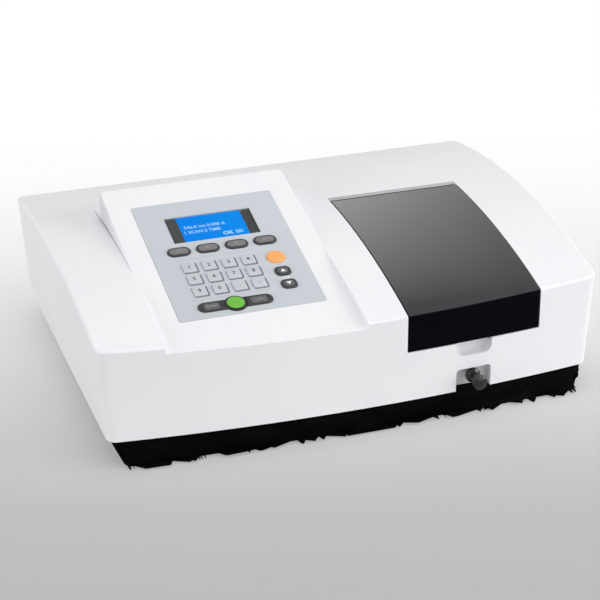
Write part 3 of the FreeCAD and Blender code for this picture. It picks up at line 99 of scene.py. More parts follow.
class NodeKit:
    # adds any node to a tree by type, settings and the values or wires of its sockets
    def __init__(self, tree):
        self.tree = tree

    def add(self, kind, settings=None, values=None, output=0):
        node = self.tree.nodes.new(kind)
        for key, value in (settings or {}).items():
            if key == "stops":
                for stop in value[2:]:
                    node.color_ramp.elements.new(stop[0])
                for element, stop in zip(node.color_ramp.elements, value):
                    element.position = stop[0]
                    element.color = (*stop[1], 1)
            else:
                setattr(node, key, value)
        for key, value in (values or {}).items():
            if isinstance(value, Wire):
                self.tree.links.new(value.socket, node.inputs[key])
            else:
                node.inputs[key].default_value = value
        return Wire(self, node.outputs[output])

    def ramp(self, wire, stops):
        return self.add("ShaderNodeValToRGB", {"stops": stops}, {"Fac": wire}, "Color")


class Finish(NodeKit):
    def __init__(self, name, **fixed):
        self.material = bpy.data.materials.new(name)
        self.material.use_nodes = True
        super().__init__(self.material.node_tree)
        self.shader = self.tree.nodes["Principled BSDF"]
        self.setValues(self.shader, fixed)
        self.place = self.add("ShaderNodeTexCoord", output="Object")

    def setValues(self, shader, fixed):
        for socketName, value in fixed.items():
            shader.inputs[socketName.replace("_", " ")].default_value = value

    def drive(self, **wires):
        for key, wire in wires.items():
            self.tree.links.new(wire.socket, self.shader.inputs[key.replace("_", " ")])

    def secondCoat(self, mask, **fixed):
        # another surface where the mask is 1; drive then works on it
        end = self.tree.nodes["Material Output"].inputs["Surface"]
        other = self.add("ShaderNodeBsdfPrincipled").socket.node
        self.setValues(other, fixed)
        mixed = self.add("ShaderNodeMixShader", {}, {0: mask, 1: Wire(self, self.shader.outputs[0]),
                                                     2: Wire(self, other.outputs[0])})
        self.tree.links.new(mixed.socket, end)
        self.shader = other

    def axis(self, name):
        return self.add("ShaderNodeSeparateXYZ", {}, {"Vector": self.place}, name)

    def facing(self, name):
        # which way the surface points, on the object's own axes
        normal = self.add("ShaderNodeTexCoord", output="Normal")
        return self.add("ShaderNodeSeparateXYZ", {}, {"Vector": normal}, name)

    def noise(self, scale, detail=2.0, rough=0.5, stretch=None):
        where = self.place
        if stretch:
            where = self.add("ShaderNodeMapping", {}, {"Vector": where, "Scale": stretch})
        return self.add("ShaderNodeTexNoise", {}, {"Vector": where, "Scale": scale, "Detail": detail,
                                                   "Roughness": rough}, "Fac")

    def cells(self, scale):
        return self.add("ShaderNodeTexVoronoi", {}, {"Vector": self.place, "Scale": scale}, "Distance")

    def tint(self, mask, first, second):
        return self.add("ShaderNodeMix", {"data_type": "RGBA"}, {0: mask, 6: (*first, 1), 7: (*second, 1)}, 2)

    def blend(self, mask, first, second):
        return self.add("ShaderNodeMix", {"data_type": "RGBA"}, {0: mask, 6: first, 7: second}, 2)

    def bump(self, height, strength, distance):
        return self.add("ShaderNodeBump", {}, {"Height": height, "Strength": strength, "Distance": distance})


def mouldedPlastic(name, pale, deep, rough, grain, specular=0.5, strength=0.12):
    # injection moulded: slow tint, fine spark grain, faint handling marks in the sheen
    plastic = {"tint": (7.0, 3.0), "tintSpan": (0.3, 0.7), "marks": (38.0, 4.0, 0.6), "marksSpan": (0.45, 0.75),
               "marksSheen": 0.08, "sparkSheen": 0.06, "relief": 0.06 * mm}
    look = Finish(name, Specular_IOR_Level=specular)
    slow = look.noise(*plastic["tint"])
    marks = look.noise(*plastic["marks"]).ramp(*plastic["marksSpan"])
    spark = look.noise(grain)
    look.drive(Base_Color=look.tint(slow.ramp(*plastic["tintSpan"]), pale, deep),
               Roughness=rough + marks * plastic["marksSheen"] + (spark - 0.5) * plastic["sparkSheen"],
               Normal=look.bump(spark, strength, plastic["relief"]))
    return look


def coverFinish(name):
    # the white moulding, with painted shade: greyer in the crease along the console's left side
    white = {"pale": (0.83, 0.83, 0.85), "deep": (0.80, 0.80, 0.825), "rough": 0.55, "grain": 1500.0, "specular": 0.18}
    creaseShade = {"left": (-0.186, -0.173), "right": (-0.1715, -0.1705), "front": (-0.02, 0.05), "rear": (0.066, 0.08),
              "share": 0.5, "tone": (0.5, 0.5, 0.52, 1)}
    look = mouldedPlastic(name, **white)
    x, y = look.axis("X"), look.axis("Y")
    # painted shade: a band along the crease, blended towards grey
    across = x.ramp(*creaseShade["left"]) ** 2 * (1 - x.ramp(*creaseShade["right"]))
    shadeBand = across * y.ramp(*creaseShade["front"]) * (1 - y.ramp(*creaseShade["rear"]))
    plain = Wire(look, look.shader.inputs["Base Color"].links[0].from_socket)
    look.drive(Base_Color=look.blend(shadeBand * creaseShade["share"], plain, creaseShade["tone"]))
    return look


def brushedMetal(name, colour, rough, along=(1, 40, 40)):
    # fine streaks in tone and sheen, drawn out along one axis
    brush = {"streak": (90.0, 4.0, 0.65), "dark": 0.82, "sheen": 0.25, "strength": 0.15, "relief": 0.05 * mm}
    look = Finish(name, Metallic=1.0)
    streak = look.noise(*brush["streak"], stretch=along)
    look.drive(Base_Color=look.tint(streak, colour, [c * brush["dark"] for c in colour]),
               Roughness=rough + (streak - 0.5) * brush["sheen"],
               Normal=look.bump(streak, brush["strength"], brush["relief"]))
    return look


def paintedMetal(name, pale, deep, rough, grain=900.0):
    # powder coat: orange peel and a little unevenness
    coat = {"peel": (3.0, 0.55), "tint": 12.0, "tintSpan": (0.3, 0.7), "sheen": 0.2, "strength": 0.2,
            "relief": 0.1 * mm}
    look = Finish(name)
    peel = look.noise(grain, *coat["peel"])
    look.drive(Base_Color=look.tint(look.noise(coat["tint"]).ramp(*coat["tintSpan"]), pale, deep),
               Roughness=rough + (peel - 0.5) * coat["sheen"],
               Normal=look.bump(peel, coat["strength"], coat["relief"]))
    return look


def circuitBoard(name):
    # green lacquer over copper tracks, with bright solder pads
    lacquer = {"pale": (0.01, 0.09, 0.03), "deep": (0.02, 0.15, 0.05), "rough": 0.35}
    copper = {"Scale": 60.0, "Mortar Size": 0.06, "Brick Width": 0.9, "Row Height": 0.22}
    solder = {"scale": 240.0, "size": 0.12, "tone": (0.75, 0.68, 0.45, 1), "smooth": 0.1, "metal": 0.8,
              "strength": 0.3, "relief": 0.1 * mm}
    look = Finish(name)
    tracks = look.add("ShaderNodeTexBrick", {"offset": 0.35}, {"Vector": look.place, **copper}, "Fac")
    pads = look.cells(solder["scale"]).below(solder["size"])
    green = look.tint(tracks, lacquer["pale"], lacquer["deep"])
    look.drive(Base_Color=look.blend(pads, green, solder["tone"]),
               Roughness=lacquer["rough"] - pads * solder["smooth"], Metallic=pads * solder["metal"],
               Normal=look.bump(pads, solder["strength"], solder["relief"]))
    return look


def clearPane(name, tone, bend):
    # clear and smooth, with a faint smear
    film = {"smear": (30.0, 3.0), "tint": 0.97, "rough": 0.02, "uneven": 0.03}
    look = Finish(name, Transmission_Weight=1.0, IOR=bend)
    smear = look.noise(*film["smear"])
    look.drive(Base_Color=look.tint(smear, tone, [t * film["tint"] for t in tone]),
               Roughness=film["rough"] + smear * film["uneven"])
    return look


def lidFinish(name):
    # dark satin top with a painted reflection that lightens it towards the rear left, plus faint wipe marks; the
    # front, edges and inside get a nearly black, duller coat, a painted-shade copy of the same black
    top = {"specular": 0.9, "wipe": (14.0, 3.0, 0.6), "stretch": (1, 0.35, 1), "back": (-0.15, 0.035), "curve": 0.75,
           "right": (0.045, 0.165), "rightShare": 0.68, "wipeShare": 0.08, "pale": (0.005, 0.007, 0.0105),
           "deep": (0.2, 0.19, 0.196), "rough": 0.34, "wipeSheen": 0.12, "fleckSheen": 0.05, "strength": 0.12}
    rest = {"facing": (0.84, 0.93), "specular": 0.03, "pale": (0.0010, 0.0014, 0.0024),
            "deep": (0.0016, 0.0022, 0.0034), "rough": 0.4, "wipeSheen": 0.1, "strength": 0.1}
    grain, relief = 1500.0, 0.05 * mm
    look = Finish(name, Specular_IOR_Level=top["specular"])
    fleck = look.noise(grain)
    wipe = look.noise(*top["wipe"], stretch=top["stretch"])
    back = look.axis("Y").ramp(*top["back"]) ** top["curve"]
    # painted reflection: the top's colour turns grey towards the rear and left
    paintedReflectionAndWipes = back * (1 - look.axis("X").ramp(*top["right"]) * top["rightShare"]) + (wipe - 0.5) * top["wipeShare"]
    look.drive(Base_Color=look.tint(paintedReflectionAndWipes, top["pale"], top["deep"]),
               Roughness=top["rough"] + (wipe - 0.5) * top["wipeSheen"] + (fleck - 0.5) * top["fleckSheen"],
               Normal=look.bump(fleck, top["strength"], relief))
    # painted shade: the surfaces that don't face up get a darker, duller copy
    look.secondCoat(1 - look.facing("Z").ramp(*rest["facing"]), Specular_IOR_Level=rest["specular"])
    look.drive(Base_Color=look.tint(wipe, rest["pale"], rest["deep"]),
               Roughness=rest["rough"] + (wipe - 0.5) * rest["wipeSheen"],
               Normal=look.bump(fleck, rest["strength"], relief))
    return look


def backlitDisplay(name):
    # blue backlight behind the fine grid of the dots, a little brighter to the right
    dots = {"across": 1800.0, "up": 1850.0, "gap": 0.12, "gapTone": (0.0, 0.15, 0.72, 1)}
    lamp = {"span": (-0.115, -0.055), "spanShare": 0.7, "cloud": (20.0, 1.0), "cloudShare": 0.3,
            "pale": (0.0, 0.225, 0.88), "deep": (0.0, 0.30, 0.86)}
    off = {"pale": (0.0, 0.01, 0.03), "deep": (0.0, 0.012, 0.03), "rough": 0.5, "uneven": 0.1}
    look = Finish(name, Specular_IOR_Level=0.0, Emission_Strength=1.0)
    columns = (look.axis("X") * dots["across"]).fraction().above(dots["gap"])
    grid = columns * (look.axis("Y") * dots["up"]).fraction().above(dots["gap"])
    glow = look.axis("X").ramp(*lamp["span"]) * lamp["spanShare"] + look.noise(*lamp["cloud"]) * lamp["cloudShare"]
    blue = look.tint(glow, lamp["pale"], lamp["deep"])
    look.drive(Base_Color=look.tint(glow, off["pale"], off["deep"]), Roughness=off["rough"] + glow * off["uneven"],
               Emission_Color=look.blend(grid, dots["gapTone"], blue))
    return look


def litInk(name):
    # pale characters of the display, uneven like lit dots
    ink = {"grain": 900.0, "pale": (0.26, 0.56, 0.95), "deep": (0.5, 0.78, 1.0)}
    off = {"pale": (0.0, 0.02, 0.05), "deep": (0.0, 0.03, 0.06), "rough": 0.5, "uneven": 0.1}
    look = Finish(name, Specular_IOR_Level=0.0, Emission_Strength=1.0)
    uneven = look.noise(ink["grain"])
    look.drive(Base_Color=look.tint(uneven, off["pale"], off["deep"]), Roughness=off["rough"] + uneven * off["uneven"],
               Emission_Color=look.tint(uneven, ink["pale"], ink["deep"]))
    return look


def panelFilm(name):
    # printed polycarbonate: cool grey that darkens a little towards the front left, a fine velvet grain
    film = {"specular": 0.4, "right": (-0.15, -0.02), "back": (-0.12, 0.05), "slope": 0.4, "cloud": (9.0, 3.0),
            "cloudShare": 0.2, "pale": (0.50, 0.535, 0.565), "deep": (0.565, 0.60, 0.645), "rough": 0.45,
            "velvet": 2600.0, "sheen": 0.1, "strength": 0.1, "relief": 0.04 * mm}
    look = Finish(name, Specular_IOR_Level=film["specular"])
    right, back = look.axis("X").ramp(*film["right"]), look.axis("Y").ramp(*film["back"])
    velvet = look.noise(film["velvet"])
    shade = right * film["slope"] + back * film["slope"] + look.noise(*film["cloud"]) * film["cloudShare"]
    look.drive(Base_Color=look.tint(shade, film["pale"], film["deep"]),
               Roughness=film["rough"] + (velvet - 0.5) * film["sheen"],
               Normal=look.bump(velvet, film["strength"], film["relief"]))
    return look


# looks that share a maker: its values, by name
recipes = [
    (mouldedPlastic, {
        "baseBlack": {"pale": (0.0016, 0.0015, 0.0020), "deep": (0.0009, 0.0009, 0.0012), "rough": 0.5,
                      "grain": 900.0, "specular": 0.02, "strength": 0.3},
        "chamberBlack": {"pale": (0.012, 0.012, 0.012), "deep": (0.007, 0.007, 0.007), "rough": 0.75,
                         "grain": 700.0, "specular": 0.15},
        "switchBlack": {"pale": (0.02, 0.02, 0.02), "deep": (0.012, 0.012, 0.012), "rough": 0.28, "grain": 1500.0},
        "knobBlack": {"pale": (0.014, 0.014, 0.015), "deep": (0.009, 0.009, 0.01), "rough": 0.16, "grain": 1500.0},
        "keyDark": {"pale": (0.036, 0.037, 0.041), "deep": (0.028, 0.029, 0.033), "rough": 0.3, "grain": 2000.0},
        "keySilver": {"pale": (0.54, 0.565, 0.60), "deep": (0.50, 0.525, 0.56), "rough": 0.38, "grain": 2000.0},
        "keyOrange": {"pale": (0.92, 0.42, 0.13), "deep": (0.86, 0.37, 0.11), "rough": 0.32, "grain": 2000.0},
        "keyGreen": {"pale": (0.165, 0.50, 0.05), "deep": (0.14, 0.45, 0.04), "rough": 0.32, "grain": 2000.0},
        "keyLabel": {"pale": (0.20, 0.19, 0.19), "deep": (0.16, 0.15, 0.155), "rough": 0.34, "grain": 2000.0},
        "keyFaint": {"pale": (0.12, 0.117, 0.12), "deep": (0.10, 0.097, 0.10), "rough": 0.34, "grain": 2000.0},
        "printPale": {"pale": (0.42, 0.44, 0.47), "deep": (0.38, 0.40, 0.43), "rough": 0.5, "grain": 2000.0},
        "printFaint": {"pale": (0.42, 0.41, 0.41), "deep": (0.38, 0.37, 0.37), "rough": 0.5, "grain": 2000.0},
        "filmPale": {"pale": (0.66, 0.68, 0.71), "deep": (0.62, 0.64, 0.68), "rough": 0.45, "grain": 2000.0},
        "wellDark": {"pale": (0.20, 0.21, 0.23), "deep": (0.17, 0.18, 0.20), "rough": 0.6, "grain": 2000.0,
                     "specular": 0.2},
        "barDark": {"pale": (0.075, 0.078, 0.075), "deep": (0.062, 0.064, 0.062), "rough": 0.5, "grain": 2000.0,
                    "specular": 0.1},
        "printWhite": {"pale": (0.86, 0.86, 0.86), "deep": (0.8, 0.8, 0.8), "rough": 0.5, "grain": 2000.0},
        "printOrange": {"pale": (0.80, 0.26, 0.05), "deep": (0.74, 0.22, 0.04), "rough": 0.5, "grain": 2000.0},
        "printGreen": {"pale": (0.10, 0.42, 0.04), "deep": (0.08, 0.37, 0.03), "rough": 0.5, "grain": 2000.0},
        "printDark": {"pale": (0.05, 0.05, 0.055), "deep": (0.04, 0.04, 0.045), "rough": 0.5, "grain": 2000.0},
        "rubber": {"pale": (0.018, 0.018, 0.018), "deep": (0.012, 0.012, 0.012), "rough": 0.8, "grain": 500.0,
                   "specular": 0.2, "strength": 0.4},
        "ledgeGrey": {"pale": (0.46, 0.46, 0.47), "deep": (0.42, 0.42, 0.43), "rough": 0.5, "grain": 1500.0,
                      "specular": 0.3},
        "gapBlack": {"pale": (0.03, 0.03, 0.032), "deep": (0.02, 0.02, 0.022), "rough": 0.6, "grain": 1500.0,
                     "specular": 0.2},
    }),
    (paintedMetal, {
        "panelMetal": {"pale": (0.62, 0.63, 0.64), "deep": (0.58, 0.59, 0.6), "rough": 0.42},
        "anodised": {"pale": (0.045, 0.045, 0.05), "deep": (0.032, 0.032, 0.036), "rough": 0.36, "grain": 1400.0},
        "blackMetal": {"pale": (0.02, 0.02, 0.02), "deep": (0.014, 0.014, 0.014), "rough": 0.45},
    }),
    (brushedMetal, {
        "gold": {"colour": (0.9, 0.66, 0.28), "rough": 0.25},
        "steel": {"colour": (0.62, 0.61, 0.6), "rough": 0.28, "along": (40, 1, 40)},
        "alloy": {"colour": (0.66, 0.67, 0.68), "rough": 0.4},
        "mirror": {"colour": (0.93, 0.93, 0.94), "rough": 0.06},
        "chrome": {"colour": (0.74, 0.74, 0.75), "rough": 0.18},
    }),
    (clearPane, {
        "glass": {"tone": (0.97, 0.98, 1.0), "bend": 1.46},
        "pane": {"tone": (0.98, 0.99, 1.0), "bend": 1.12},
    })
]
looks = {"coverWhite": coverFinish("coverWhite"), "displayInk": litInk("displayInk"), "board": circuitBoard("board"),
         "lidTop": lidFinish("lidTop"), "display": backlitDisplay("display"), "panelFilm": panelFilm("panelFilm")}
for maker, rows in recipes:
    for name, values in rows.items():
        looks[name] = maker(name, **values)
print("looks made")

# what each CAD part is finished in
partLooks = {
    "coverWhite": ["upper_cover"],
    "baseBlack": ["base_tray"],
    "panelMetal": ["rear_panel", "lamp_house"],
    "panelFilm": ["keypad_panel"],
    "display": ["display_module"],
    "pane": ["display_window"],
    "glass": ["chamber_lenses", "tungsten_lamp", "deuterium_lamp"],
    "board": ["keypad_board", "main_board", "power_supply"],
    "lidTop": ["sample_lid"],
    "steel": ["lid_hinge_pins", "carriage_rails", "pull_rod", "detent_spring", "stepper_motors", "cover_screws"],
    "chamberBlack": ["sample_chamber", "fan_frame", "fan_rotor"],
    "rubber": ["chamber_seal", "rubber_feet"],
    "anodised": ["cell_carriage"],
    "blackMetal": ["monochromator_hood", "slit_plates", "filter_wheel", "detector_unit"],
    "knobBlack": ["pull_knob"],
    "alloy": ["optical_bench", "grating_table"],
    "mirror": ["monochromator_mirrors", "source_mirror"],
    "switchBlack": ["mains_inlet", "power_switch"],
    "chrome": ["data_ports"],
    "keyOrange": ["stop_key"],
    "keyGreen": ["start_key"],
    "keyDark": ["function_key_1", "function_key_2", "function_key_3", "function_key_4", "up_key", "down_key",
                "return_key", "enter_key"],
    "keySilver": ["square_key_%02d" % (k + 1) for k in range(12)],
}
for lookName, nodeNames in partLooks.items():
    for nodeName in nodeNames:
        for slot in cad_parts[nodeName].material_slots:
            slot.material = looks[lookName].material
print("parts finished")


# modelling helpers; near is the same place, upward is facing up, whole is how much of half a width a corner takes
tolerance = {"near": 0.01 * mm, "upward": 0.9, "whole": 0.998}


def fresh():
    if bpy.context.object and bpy.context.object.mode != "OBJECT":
        bpy.ops.object.mode_set(mode="OBJECT")
    bpy.ops.object.select_all(action="DESELECT")


def startBlock(name, low, high):
    # a cube stretched from low to high, left in edit mode
    fresh()
    bpy.ops.mesh.primitive_cube_add(size=1)
    piece = bpy.context.object
    piece.name = name
    bpy.ops.object.mode_set(mode="EDIT")
    bpy.ops.mesh.select_all(action="SELECT")
    size = [h - l for l, h in zip(low, high)]
    bpy.ops.transform.resize(value=size, center_override=(0, 0, 0))
    bpy.ops.transform.translate(value=[(l + h) / 2 for l, h in zip(low, high)])
    return piece


def choose(kind, test):
    # selects the faces, edges or corners that pass the test
    bpy.ops.mesh.select_mode(type=kind)
    bpy.ops.mesh.select_all(action="DESELECT")
    shape = bmesh.from_edit_mesh(bpy.context.object.data)
    items = {"FACE": shape.faces, "EDGE": shape.edges, "VERT": shape.verts}[kind]
    for item in items:
        if test(item):
            item.select_set(True)
    shape.select_flush_mode()
    bmesh.update_edit_mesh(bpy.context.object.data)


def upright(edge):
    a, b = edge.verts[0].co, edge.verts[1].co
    return abs(a.x - b.x) < tolerance["near"] and abs(a.y - b.y) < tolerance["near"]


def topFace(face, level):
    height = face.calc_center_median().z
    return face.normal.z > tolerance["upward"] and abs(height - level) < tolerance["near"]


def finishPiece(piece, look, body, space=None, angle=35):
    # back to object mode, smooth by angle, material, place and body
    fresh()
    piece.select_set(True)
    bpy.context.view_layer.objects.active = piece
    bpy.ops.object.shade_smooth_by_angle(angle=math.radians(angle))
    if space is not None:
        piece.data.transform(space)
    if not piece.data.materials:
        piece.data.materials.append(looks[look].material)
    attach(piece, body)
    return piece


def copyPiece(piece, name, x, t, body, space=consoleSpace):
    # the same piece with its own mesh, moved along the console, or along another plane
    twin = piece.copy()
    twin.data = piece.data.copy()
    twin.name = name
    bpy.context.collection.objects.link(twin)
    twin.data.transform(Matrix.Translation(space.to_3x3() @ Vector((x, t, 0))))
    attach(twin, body)
    return twin


def startPlate(name, width, height, corner, low, high, x, t, segments=6):
    # a plate with round corners, left in edit mode
    piece = startBlock(name, (x - width / 2, t - height / 2, low), (x + width / 2, t + height / 2, high))
    choose("EDGE", upright)
    widest = min(width, height) / 2 * tolerance["whole"]
    bpy.ops.mesh.bevel(offset=min(corner, widest), segments=segments, affect="EDGES")
    return piece


def roundRim(level, width, segments):
    # rounds the rim of the flat face that lies at this level
    choose("FACE", lambda f: topFace(f, level))
    bpy.ops.mesh.region_to_loop()
    bpy.ops.mesh.bevel(offset=width, segments=segments, affect="EDGES")


def printText(name, words, size, x, t, level, look, body, stretch=1.0, bold=0.0, space=consoleSpace):
    # flat letters that stand on a surface of the console, or of another plane
    fresh()
    bpy.ops.object.text_add()
    text = bpy.context.object
    text.name = name
    text.data.body = words
    text.data.size = size
    text.data.align_x = "CENTER"
    text.data.align_y = "CENTER"
    text.data.extrude = panel["letters"] / 2
    text.data.offset = bold
    text.data.resolution_u = 3
    bpy.ops.object.convert(target="MESH")
    piece = bpy.context.object
    piece.data.transform(Matrix.Translation((x, t, level + panel["letters"] / 2 - panel["sink"]))
                         @ Matrix.Diagonal((stretch, 1, 1, 1)))
    return finishPiece(piece, look, body, space)


def startDisc(name, radius, low, high, x, t, sides=72):
    # a round plate, left in edit mode
    fresh()
    bpy.ops.mesh.primitive_cylinder_add(vertices=sides, radius=radius, depth=high - low, end_fill_type="NGON")
    piece = bpy.context.object
    piece.name = name
    bpy.ops.object.mode_set(mode="EDIT")
    bpy.ops.mesh.select_all(action="SELECT")
    bpy.ops.transform.translate(value=(x, t, (low + high) / 2))
    return piece


def roundTop(level, width, segments):
    # rounds the edges of a block's top, which lies at this level
    choose("EDGE", lambda e: all(v.co.z > level - tolerance["near"] for v in e.verts))
    bpy.ops.mesh.bevel(offset=width, segments=segments, affect="EDGES")


def hollowPlate(inward, right=0.0, up=0.0):
    # cuts the middle out of a plate, the hole moved to one side if wanted
    choose("FACE", lambda f: abs(f.normal.z) > tolerance["upward"])
    bpy.ops.mesh.inset(thickness=inward, depth=0.0)
    bpy.ops.transform.translate(value=(right, up, 0))
    bpy.ops.mesh.bridge_edge_loops()


def crown(level, steps):
    # lifts the top face in rings, each step being how far in and how far up
    choose("FACE", lambda f: topFace(f, level))
    for inward, upward in steps:
        bpy.ops.mesh.inset(thickness=inward, depth=upward)


# lines printed on the key panel
printLines = {"left": -131 * mm, "right": -60.5 * mm, "levels": [112.6 * mm, 55.4 * mm], "wide": 0.45 * mm,
              "thick": 0.03 * mm}

for k, t in enumerate(printLines["levels"]):
    middle = (printLines["left"] + printLines["right"]) / 2
    line = startPlate("panelLine%d" % (k + 1), printLines["right"] - printLines["left"], printLines["wide"], 0.2 * mm,
                      panel["top"] - panel["sink"], panel["top"] + printLines["thick"], middle, t, segments=2)
    finishPiece(line, "printPale", "housing", consoleSpace)

# key caps: how high they stand, how deep a label sits in one, the height of the labels
caps = {"top": 1.55 * mm, "squareTop": 1.25 * mm, "sink": 0.02 * mm, "label": 8.2 * mm}

# function keys: a lighter raised label on each dark cap, its ends half circles
functionKeys = {"x": -84.2 * mm, "t": 124.0 * mm, "pitch": 26.75 * mm, "width": 17.4 * mm, "corner": 4.1 * mm,
                "rise": 0.3 * mm, "rim": 0.25 * mm, "letters": 3.4 * mm, "words": ["F1", "F2", "F3", "F4"]}
firstX = functionKeys["x"] - 1.5 * functionKeys["pitch"]
high = caps["top"] + functionKeys["rise"]
label = startPlate("functionLabel1", functionKeys["width"], caps["label"], functionKeys["corner"],
                   caps["top"] - caps["sink"], high, firstX, functionKeys["t"], segments=9)
roundRim(high, functionKeys["rim"], 3)
finishPiece(label, "keyLabel", "function_1_button", consoleSpace)
for k, word in enumerate(functionKeys["words"]):
    body = "function_%d_button" % (k + 1)
    if k:
        copyPiece(label, "functionLabel%d" % (k + 1), k * functionKeys["pitch"], 0, body)
    printText("functionWord%d" % (k + 1), word, functionKeys["letters"], firstX + k * functionKeys["pitch"],
              functionKeys["t"], high, "printFaint", body)
print("function keys done")

# number keys: a silver cap plate with its digit, and a dark ring around each, shifted so it shows right and below as a
# painted shadow of the raised cap
squareKeys = {"x": -121.7 * mm, "t": 100.0 * mm, "pitchX": 18.1 * mm, "pitchT": 16.9 * mm, "size": 11.3 * mm,
              "corner": 1.3 * mm, "rise": 0.25 * mm, "rim": 0.3 * mm, "digits": 6.2 * mm, "bold": 0.1 * mm,
              "columns": 4, "marks": "1234567890.-"}
wellEdge = {"outer": 14.3 * mm, "inner": 12.8 * mm, "corner": 1.9 * mm, "shift": 0.65 * mm, "thick": 0.04 * mm}
high = caps["squareTop"] + squareKeys["rise"]
plate = startPlate("squarePlate01", squareKeys["size"], squareKeys["size"], squareKeys["corner"],
                   caps["squareTop"] - caps["sink"], high, squareKeys["x"], squareKeys["t"])
roundRim(high, squareKeys["rim"], 3)
finishPiece(plate, "keySilver", "square_01_button", consoleSpace)
# painted shadow: the dark ring laid on the panel right of and below each key
edge = startPlate("wellEdge01", wellEdge["outer"], wellEdge["outer"], wellEdge["corner"],
                  panel["top"] - panel["sink"], panel["top"] + wellEdge["thick"],
                  squareKeys["x"] + wellEdge["shift"], squareKeys["t"] - wellEdge["shift"])
hollowPlate((wellEdge["outer"] - wellEdge["inner"]) / 2, -wellEdge["shift"], wellEdge["shift"])
finishPiece(edge, "wellDark", "housing", consoleSpace)
for k, mark in enumerate(squareKeys["marks"]):
    row, column = divmod(k, squareKeys["columns"])
    x, t = column * squareKeys["pitchX"], -row * squareKeys["pitchT"]
    body = "square_%02d_button" % (k + 1)
    if k:
        copyPiece(plate, "squarePlate%02d" % (k + 1), x, t, body)
        copyPiece(edge, "wellEdge%02d" % (k + 1), x, t, "housing")
    printText("squareMark%02d" % (k + 1), mark, squareKeys["digits"], squareKeys["x"] + x, squareKeys["t"] + t, high,
              "printDark", body, bold=squareKeys["bold"])
print("number keys done")

# round keys: a crowned cap plate with its word; dome is how far in and up each ring of the crown goes
roundKeys = {"radius": 7.7 * mm, "rise": 0.5 * mm, "rim": 0.2 * mm, "letters": 3.0 * mm,
             "dome": [(0.3 * mm, 0.1 * mm), (0.6 * mm, 0.09 * mm), (1.2 * mm, 0.08 * mm), (1.8 * mm, 0.03 * mm)],
             "keys": {"stop": (-42.1 * mm, 98.0 * mm, "keyOrange", "printOrange", "key_orange"),
                      "start": (-95.9 * mm, 43.4 * mm, "keyGreen", "printGreen", "key_green")}}
for name, (x, t, look, ink, slotName) in roundKeys["keys"].items():
    mid = caps["top"] + roundKeys["rim"]
    cap = startDisc(name + "Crown", roundKeys["radius"], caps["top"] - caps["sink"], mid, x, t)
    crown(mid, roundKeys["dome"])
    finishPiece(cap, look, name + "_button", consoleSpace, angle=50)
    printText(name + "Word", name.upper(), roundKeys["letters"], x, t, caps["top"] + roundKeys["rise"] - caps["sink"],
              ink, name + "_button")

# rings: a pale one printed round the orange key, and two dark ones on the green key: one over its collar as painted
# shade, one hiding its side
rings = [("stopRing", "stop", 9.5, 9.0, 0.24, 0.29, "filmPale", "housing", "panel_film"),
         # painted shade: the dark ring over the green key's collar
         ("startCollar", "start", 9.96, 8.56, 0.1, 0.82, "keyDark", "start_button", "key_green"),
         ("startBezel", "start", 8.56, 7.8, 0.75, 1.6, "keyDark", "start_button", "key_green")]
for name, key, outer, inner, low, high, look, body, slotName in rings:
    x, t = roundKeys["keys"][key][:2]
    ring = startDisc(name, outer * mm, low * mm, high * mm, x, t)
    hollowPlate((outer - inner) * mm)
    finishPiece(ring, look, body, consoleSpace)
print("round keys done")

# arrow keys: a grey plate with a pale triangle, and the link printed between the two
arrowKeys = {"x": -42.1 * mm, "t": {"up": 77.2 * mm, "down": 58.7 * mm}, "width": 9.6 * mm, "corner": 4.0 * mm,
             "rise": 0.2 * mm, "rim": 0.18 * mm, "arrow": 2.7 * mm, "drop": 0.5 * mm, "thick": 0.05 * mm,
             "point": 0.3 * mm}
high = caps["top"] + arrowKeys["rise"]
for name, t in arrowKeys["t"].items():
    body = name + "_button"
    plate = startPlate(name + "Plate", arrowKeys["width"], caps["label"], arrowKeys["corner"],
                       caps["top"] - caps["sink"], high, arrowKeys["x"], t, segments=9)
    roundRim(high, arrowKeys["rim"], 3)
    finishPiece(plate, "keyFaint", body, consoleSpace)
    arrow = startDisc(name + "Arrow", arrowKeys["arrow"], high - panel["sink"], high + arrowKeys["thick"],
                      arrowKeys["x"], t - arrowKeys["drop"], sides=3)
    if name == "down":
        bpy.ops.transform.resize(value=(1, -1, 1), center_override=(arrowKeys["x"], t, 0))
        bpy.ops.mesh.flip_normals()
    choose("EDGE", upright)
    bpy.ops.mesh.bevel(offset=arrowKeys["point"], segments=3, affect="EDGES")
    finishPiece(arrow, "printWhite", body, consoleSpace)

arrowLink = {"width": 7.4 * mm, "height": 4.6 * mm, "thick": 0.16 * mm, "corner": 1.2 * mm, "rim": 0.12 * mm}
middle = (arrowKeys["t"]["up"] + arrowKeys["t"]["down"]) / 2
link = startPlate("arrowLink", arrowLink["width"], arrowLink["height"], arrowLink["corner"],
                  panel["top"] - panel["sink"], panel["top"] + arrowLink["thick"], arrowKeys["x"], middle)
roundRim(panel["top"] + arrowLink["thick"], arrowLink["rim"], 2)
finishPiece(link, "filmPale", "housing", consoleSpace)
print("arrow keys done")

# bar keys: a label plate with its word on each half
barKeys = {"t": 43.0 * mm, "rise": 0.2 * mm, "corner": 1.6 * mm, "rim": 0.18 * mm, "letters": 2.5 * mm,
           "keys": [("return", -117.6 * mm, 13.6 * mm), ("enter", -75.0 * mm, 14.6 * mm)]}
high = caps["top"] + barKeys["rise"]
for name, x, width in barKeys["keys"]:
    label = startPlate(name + "Label", width, caps["label"], barKeys["corner"], caps["top"] - caps["sink"], high, x,
                       barKeys["t"])
    roundRim(high, barKeys["rim"], 3)
    finishPiece(label, "keyFaint", name + "_button", consoleSpace)
    printText(name + "Word", name.upper(), barKeys["letters"], x, barKeys["t"], high, "printFaint", name + "_button")
print("bar keys done")

